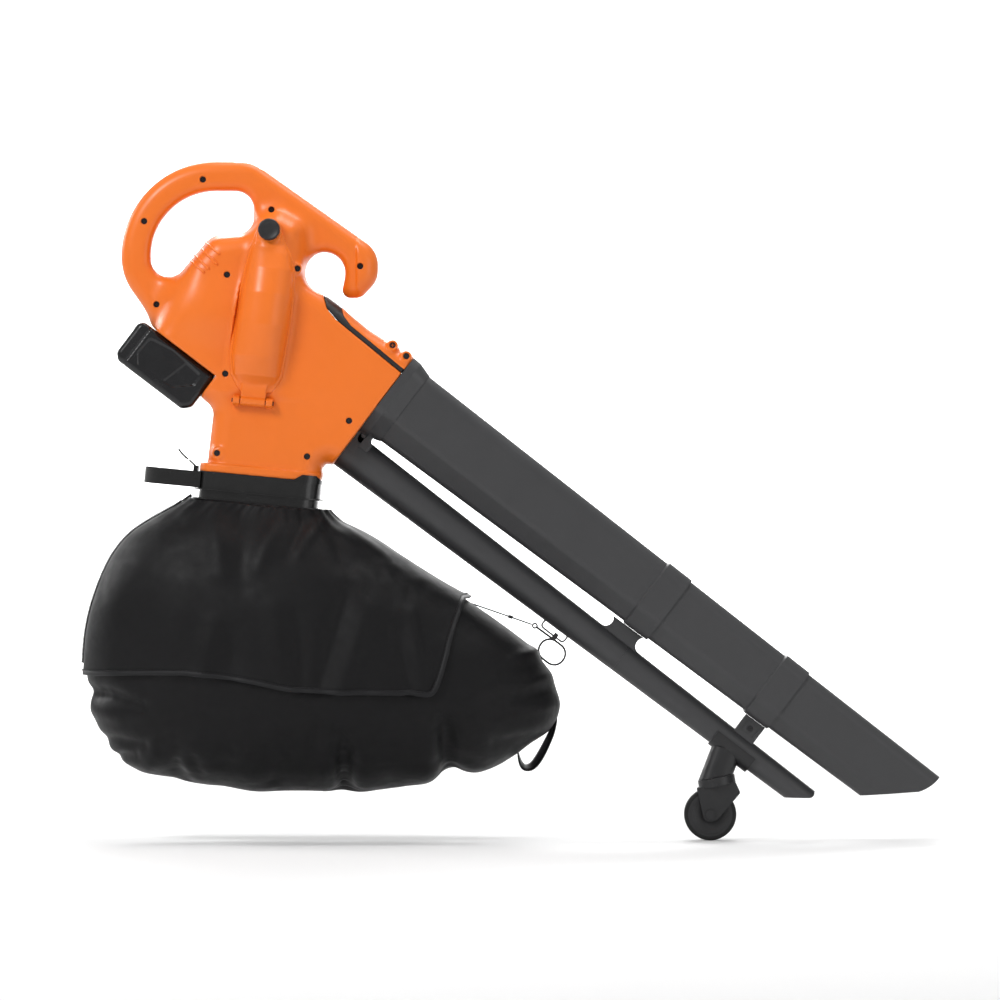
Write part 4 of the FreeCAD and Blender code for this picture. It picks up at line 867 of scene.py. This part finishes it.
def build_flap(bag):
    """The loose cover over the bag's top: a skirt that follows the bag and stands off at its hem."""
    tree = surface_tree(bag)
    columns, rows = ((420, 80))
    table, front = np.array(BAG, float), np.array(HEM[7:], float)

    def shoot(angle, z):
        """The bag's surface and its normal at height z, from the side at an angle."""
        middle = np.interp(-z, -table[:, 0], (table[:, 1] + table[:, 2]) / 2)
        way = Vector((math.cos(angle), math.sin(angle), 0))
        return tree.ray_cast(metres(middle, z) + way * 0.7, -way)[:2]

    def covered(x, z):
        """Whether a point is above the lower hem and behind the front edge."""
        above = z > spline(HEM[:8], np.array([x]))[0]
        return above and (z > FLAP_CORNER or x < np.interp(z, front[:, 1], front[:, 0]))

    points = np.zeros((rows, columns, 3))
    hems = []
    for k in range(columns):
        angle = 2 * math.pi * k / columns
        low, high = 150.0, 420.0
        for _ in range(22):
            z = (low + high) / 2
            place = shoot(angle, z)[0]
            x = place.x / MM if place else 0
            low, high = (low, z) if covered(x, z) else (z, high)
        hems.append(high)
    # The sewn hem runs smoothly round the corner.
    hems = np.array(hems)
    for _ in range(3):
        hems = (np.roll(hems, 1) + 2 * hems + np.roll(hems, -1)) / 4
    for k in range(columns):
        angle = 2 * math.pi * k / columns
        for r in range(rows):
            share = r / (rows - 1)
            top = 431.5 - 8 * math.cos(angle)
            z = hems[k] + (top - hems[k]) * share
            place, normal = shoot(angle, z)
            near = math.exp(-(z - hems[k]) / 16)
            wave = (math.sin(7 * angle + 0.8) * 0.5 + math.sin(17 * angle) * 0.35
                    + math.sin(31 * angle + 2) * 0.15)
            # The cloth is gathered under the collar, most at the end towards the nozzle.
            gather = (0.35 + 0.65 * max(math.cos(angle), 0)) * math.sin(34 * angle)
            gather *= math.exp((z - top) / 20)
            stand = 2.0 + near * (3.2 + 1.8 * wave) + 1.3 * gather
            points[r, k] = (place + normal * stand * MM) / MM
    flap = grid_mesh("bag_flap_cloth", points)
    relax(flap, 2, 0.4)
    solid = flap.modifiers.new("thickness", "SOLIDIFY")
    solid.thickness, solid.offset = CLOTH, 1
    apply_modifiers(flap)
    smooth(flap)
    piece(flap, "bag", "bag_fabric", "bag_flap")
    edge = [Vector(p) * MM for p in points[0]]
    # The hem band takes the lighter webbing finish: partly the binding's own colour, partly a painted highlight
    # along the hem's edge.
    hem = band("flap_hem", edge, tree, 0.0060, 0.0018)
    piece(hem, "bag", "webbing")
    stitches = stitch_line("flap_stitches", edge, tree, 0.0062)
    piece(stitches, "bag", "webbing")
    return flap


def upwards(way, normal):
    """Across an edge that runs along way, towards the cloth above it or behind it."""
    up = way.cross(normal).normalized()
    level = abs(way.z) < 0.9
    return -up if (up.z < 0 if level else up.x > 0) else up


def band(name, edge, tree, width, thick):
    """A folded hem: a flat closed band that follows an edge, standing up from it."""
    bm = bmesh.new()
    rings = []
    count = len(edge)
    for k, place in enumerate(edge):
        way = (edge[(k + 1) % count] - edge[k - 1]).normalized()
        normal = tree.find_nearest(place)[1]
        up, out = upwards(way, normal), normal * thick
        inner, tip = place - normal * 0.0002, place + up * width
        ring = [inner - up * 0.0006, inner + out * 0.9 - up * 0.0008, inner + out, tip + out * 0.85,
                tip + out * 0.4]
        rings.append([bm.verts.new(p) for p in ring])
    join_rings(bm, rings, closed=True)
    return mesh_object(name, bm)


def walk(points):
    """A line's length, and a function from a length along it to the place and the way there."""
    steps = [(b - a).length for a, b in zip(points, points[1:])]
    lengths = np.concatenate([[0], np.cumsum(steps)])

    def place_at(s):
        k = min(int(np.searchsorted(lengths, s, side="right")) - 1, len(points) - 2)
        t = (s - lengths[k]) / max(lengths[k + 1] - lengths[k], 1e-9)
        return points[k].lerp(points[k + 1], t), (points[k + 1] - points[k]).normalized()
    return lengths[-1], place_at


def stitch_line(name, edge, tree, up_by):
    """Short raised stitches along a closed edge, a little above it."""
    total, place_at = walk(edge + edge[:1])

    def point(s):
        return place_at(s % total)[0]

    runs = []
    pitch, stitch = 0.0048, 0.0032
    for n in range(int(total / pitch)):
        run = []
        for share in (0, 0.5, 1):
            s = n * pitch + share * stitch
            place = point(s)
            way = (point(s + 0.002) - point(s - 0.002)).normalized()
            normal = tree.find_nearest(place)[1]
            run.append(place + upwards(way, normal) * up_by + normal * (0.0021 if share == 0.5 else 0.0017))
        runs.append(run)
    return tube_mesh(name, runs, 0.0003, 5)


# The zip's tape across (side, out), and one tooth along, across and out.
TAPE_SECTION = [(-0.0085, 0.0), (-0.0082, 0.0009), (-0.002, 0.0014), (0.002, 0.0014), (0.0082, 0.0009),
                (0.0085, 0.0)]
TOOTH, TOOTH_PITCH = (0.0012, 0.0034, 0.0016, 1), 0.0016


def build_zip(flap):
    """A zip down the bag's rear edge: its tape and two rows of teeth, from the slider to the hem."""
    tree = surface_tree(flap)
    outline = []
    z = 0.434
    while z > 0.224:
        hit, normal = tree.ray_cast(Vector((-0.8, 0, z)), Vector((1, 0, 0)))[:2]
        if hit:
            outline.append(hit + normal * 0.0004)
        z -= 0.002
    smooth_line = [outline[0]]
    for k in range(1, len(outline) - 1):
        smooth_line.append((outline[k - 1] + outline[k] * 2 + outline[k + 1]) / 4)
    total, place_at = walk(smooth_line)
    side = Vector((0, 1, 0))

    def outwards(way):
        out = side.cross(way).normalized()
        return out if out.x < 0 else -out

    bm = bmesh.new()
    rings, s = [], 0.0
    while s < total:
        place, way = place_at(s)
        rings.append([bm.verts.new(place + side * y + outwards(way) * h) for y, h in TAPE_SECTION])
        s += 0.003
    join_rings(bm, rings)
    piece(mesh_object("zip_tape", bm), "bag", "webbing", "bag_zip")
    teeth = bmesh.new()
    s, turn = 0.001, 1
    while s < total:
        place, way = place_at(s)
        out = outwards(way)
        frame_matrix = Matrix((way, side, out)).transposed().to_4x4()
        frame_matrix.translation = place + out * 0.0021 + side * turn * 0.0011
        made = bmesh.ops.create_cube(teeth, size=1.0, matrix=frame_matrix @ Matrix.Diagonal(TOOTH))
        bmesh.ops.bevel(teeth, geom=list({e for v in made["verts"] for e in v.link_edges}), offset=0.0003,
                        segments=1, affect="EDGES")
        s, turn = s + TOOTH_PITCH, -turn
    mesh = bpy.data.meshes.new("zip_teeth")
    teeth.to_mesh(mesh)
    piece(add_object("zip_teeth", mesh), "bag", "black_trim")


LOOP = [(58, 170), (58.5, 158), (54, 140), (45, 120), (36, 104), (28, 95), (19, 93.5), (13.5, 100),
        (10, 113)]
# The strap's section, in half widths across and thicknesses out.
STRAP_SECTION = [(-1, -0.5), (-1.02, 0), (-1, 0.5), (-0.5, 0.62), (0, 0.66), (0.5, 0.62), (1, 0.5), (1.02, 0),
                 (1, -0.5), (0.5, -0.62), (0, -0.66), (-0.5, -0.62)]
STRAP_HALF, STRAP_THICK = 0.010, 0.0018


def build_loop():
    """The webbing grab loop at the bag's far end, woven across."""
    line = [metres(x, z) for x, z in LOOP]
    dense = []
    for k in range(len(line) - 1):
        a, b = line[max(k - 1, 0)], line[min(k + 2, len(line) - 1)]
        for t in (0, 0.25, 0.5, 0.75):
            p, q = line[k], line[k + 1]
            dense.append(0.5 * ((2 * p) + (q - a) * t + (2 * a - 5 * p + 4 * q - b) * t * t
                                + (3 * p - a - 3 * q + b) * t ** 3))
    dense.append(line[-1])
    bm = bmesh.new()
    rings = []
    count = len(dense)
    for k, place in enumerate(dense):
        way = (dense[min(k + 1, count - 1)] - dense[max(k - 1, 0)]).normalized()
        out = Vector((way.z, 0, -way.x))
        share = k / (count - 1)
        twist = math.sin(math.pi * share) * 0.45
        side = (Vector((0, 1, 0)) * math.cos(twist) + out * math.sin(twist)).normalized()
        flat_out = side.cross(way).normalized()
        rings.append([bm.verts.new(place + side * y * STRAP_HALF + flat_out * h * STRAP_THICK)
                      for y, h in STRAP_SECTION])
    join_rings(bm, rings)
    piece(mesh_object("grab_strap", bm), "bag", "webbing", "grab_loop")


CORD_ROUTE = [(-60, 308), (-6, 289.5), (28, 277.5)]


def build_cord():
    """The elastic from the flap's corner through its crimp to the hook's eye."""
    curve = bpy.data.curves.new("elastic", "CURVE")
    curve.dimensions = "3D"
    run = curve.splines.new("NURBS")
    run.points.add(len(CORD_ROUTE) - 1)
    for point, (x, z) in zip(run.points, CORD_ROUTE):
        point.co = (x * MM, 0, z * MM, 1)
    run.order_u = 3
    run.use_endpoint_u = True
    curve.bevel_depth, curve.bevel_resolution, curve.resolution_u = 0.001, 4, 24
    obj = piece(add_object("elastic", curve), "bag", "cord_elastic", "elastic_cord")


# ---------- battery and knob
def build_battery():
    """The battery pack: chamfered case, end cap seam, ribbed end and an angular recess on both sides."""
    field = Field((-516, -42, 546), (-370, 42, 686), 1.1, 2.4)
    u, v = local(field, JOINT, TUBE_ANGLE)

    def region(corners):
        return outline_field(rounded(corners, 1.0), u, v)

    case = field.plate(region([(-308, -118, 9), (-301, -113.9, 6), (-188.4, -113.9, 5), (-188.4, -164, 9),
                               (-198, -174, 8), (-300, -174, 9), (-308, -166, 7)]), 37, 7.0)
    seam = slab(u, -291, 0.7)
    case = without(case, seam, -(case + 1.0))
    panel = region([(-284, -126, 4), (-252, -120, 5), (-204, -124, 5), (-202, -140, 5), (-224, -160, 6),
                    (-276, -163, 6), (-286, -150, 5)])
    case = without(case, panel, 36.0 - np.abs(field.y))
    wedge = region([(-226, -118, 2), (-196, -118, 2), (-196, -170, 2), (-240, -170, 2)])
    case = without(case, wedge, panel + 1.5, 35.2 - np.abs(field.y))
    for level in (-132, -144, -156):
        case = without(case, slab(v, level, 1.4), u + 306.8, slab(field.y, 0, 24))
    piece(field.mesh("battery_pack", case), "battery", "battery_black", "battery_case",
          "battery_lid")


def lathe(name, profile, place, axis, steps=72, wave=None):
    """A turned form: (radius, height) points round an axis, with an optional change of radius by angle."""
    bm = bmesh.new()
    rings = []
    turn = Vector((0, 0, 1)).rotation_difference(Vector(axis)).to_matrix()
    for radius, height in profile:
        ring = []
        for k in range(steps):
            angle = 2 * math.pi * k / steps
            r = radius * (1 + (wave(angle, height) if wave else 0))
            point = Vector((r * math.cos(angle), r * math.sin(angle), height))
            ring.append(bm.verts.new(turn @ point + Vector(place)))
        rings.append(ring)
    join_rings(bm, rings)
    return mesh_object(name, bm)


def build_knob():
    """The screw knob on the cover, with shallow finger flutes."""
    low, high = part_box("cover_knob")
    x, z, y = (low[0] + high[0]) / 2, (low[2] + high[2]) / 2, high[1]
    depth = high[1] - low[1]
    profile = [(0.0100, 0), (0.0128, 0.0003), (0.0138, 0.0014), (0.0140, 0.003), (0.0140, depth - 0.003),
               (0.0137, depth - 0.0014), (0.0128, depth - 0.0003), (0.0118, depth - 0.0001),
               (0.0108, depth - 0.0008), (0.0040, depth - 0.0009)]

    def flutes(angle, height):
        """Nine shallow hollows round the grip, as a share of its radius."""
        return -0.025 * max(math.cos(9 * angle), 0) ** 4 * (0.001 < height < depth - 0.0008)

    knob = lathe("knob_grip", profile, (x, y, z), (0, -1, 0), 144, flutes)
    piece(knob, "knob", "black_trim", "cover_knob")


# ---------- studio
def build_studio():
    """A pale floor that curves up into a wall far behind, a soft world and seven area lamps."""
    bend, back, front, half_width, height = 4.0, 11.0, -14.0, 16.0, 14.0
    turns = [math.pi / 2 * k / 24 for k in range(25)]
    curve = [(back + bend * math.sin(a), bend - bend * math.cos(a)) for a in turns]
    line = [(front, 0), *curve, (back + bend, height)]
    corners = [(x, y, z) for y, z in line for x in (-half_width, half_width)]
    faces = [(2 * k, 2 * k + 1, 2 * k + 3, 2 * k + 2) for k in range(len(line) - 1)]
    floor = bpy.data.meshes.new("floor")
    floor.from_pydata(corners, [], faces)
    floor = smooth(add_object("floor", floor))
    paint(floor, material("pale_floor", (0.8, 0.8, 0.8), 0.8))
    world = bpy.data.worlds.new("studio")
    bpy.context.scene.world = world
    world.use_nodes = True
    world.node_tree.nodes["Background"].inputs["Color"].default_value = (1, 1, 1, 1)
    world.node_tree.nodes["Background"].inputs["Strength"].default_value = 0.5
    # Each lamp: name, place, side length, watts, and the place that it faces.
    middle, wall, ground = (0, 0, 0.45), (0, 14.5, 2.5), (0, 6.5, 0)
    lamps = [("key", (-2.2, -2.6, 2.8), 1.0, 75, middle), ("fill", (2.6, -2.4, 0.9), 1.6, 14, middle),
             ("top", (0.4, 0.3, 3.0), 1.4, 34, middle), ("rim", (-2.6, 1.6, 1.5), 0.8, 22, middle),
             ("wall_left", (-3.5, 9.0, 3.6), 2.5, 700, wall),
             ("wall_right", (3.5, 9.0, 3.6), 2.5, 700, wall),
             ("ground", (0, 6.4, 4.5), 3.5, 420, ground)]
    for name, place, size, power, target in lamps:
        light = bpy.data.lights.new(name, "AREA")
        light.size, light.energy = size, power
        lamp = add_object(name, light)
        lamp.location = place
        lamp.rotation_euler = (Vector(target) - Vector(place)).to_track_quat("-Z", "Y").to_euler()
    bpy.context.scene.view_settings.view_transform = "Standard"


def build_camera():
    """A long lens, level and square to the side of the machine, as far off as frames view_width."""
    camera = bpy.data.cameras.new("camera")
    camera.lens, camera.sensor_width = 250, 36
    obj = add_object("camera", camera)
    view_width = 1.287
    obj.location = (-0.0129, -view_width * camera.lens / camera.sensor_width, 0.4376)
    obj.rotation_euler = (math.pi / 2, 0, 0)
    bpy.context.scene.camera = obj


def main():
    build_camera()
    build_studio()
    MATERIALS.update(make_materials())
    paint_cad()
    build_cord()
    build_housing()
    build_root()
    build_cover()
    build_battery()
    build_knob()
    build_bag()


main()
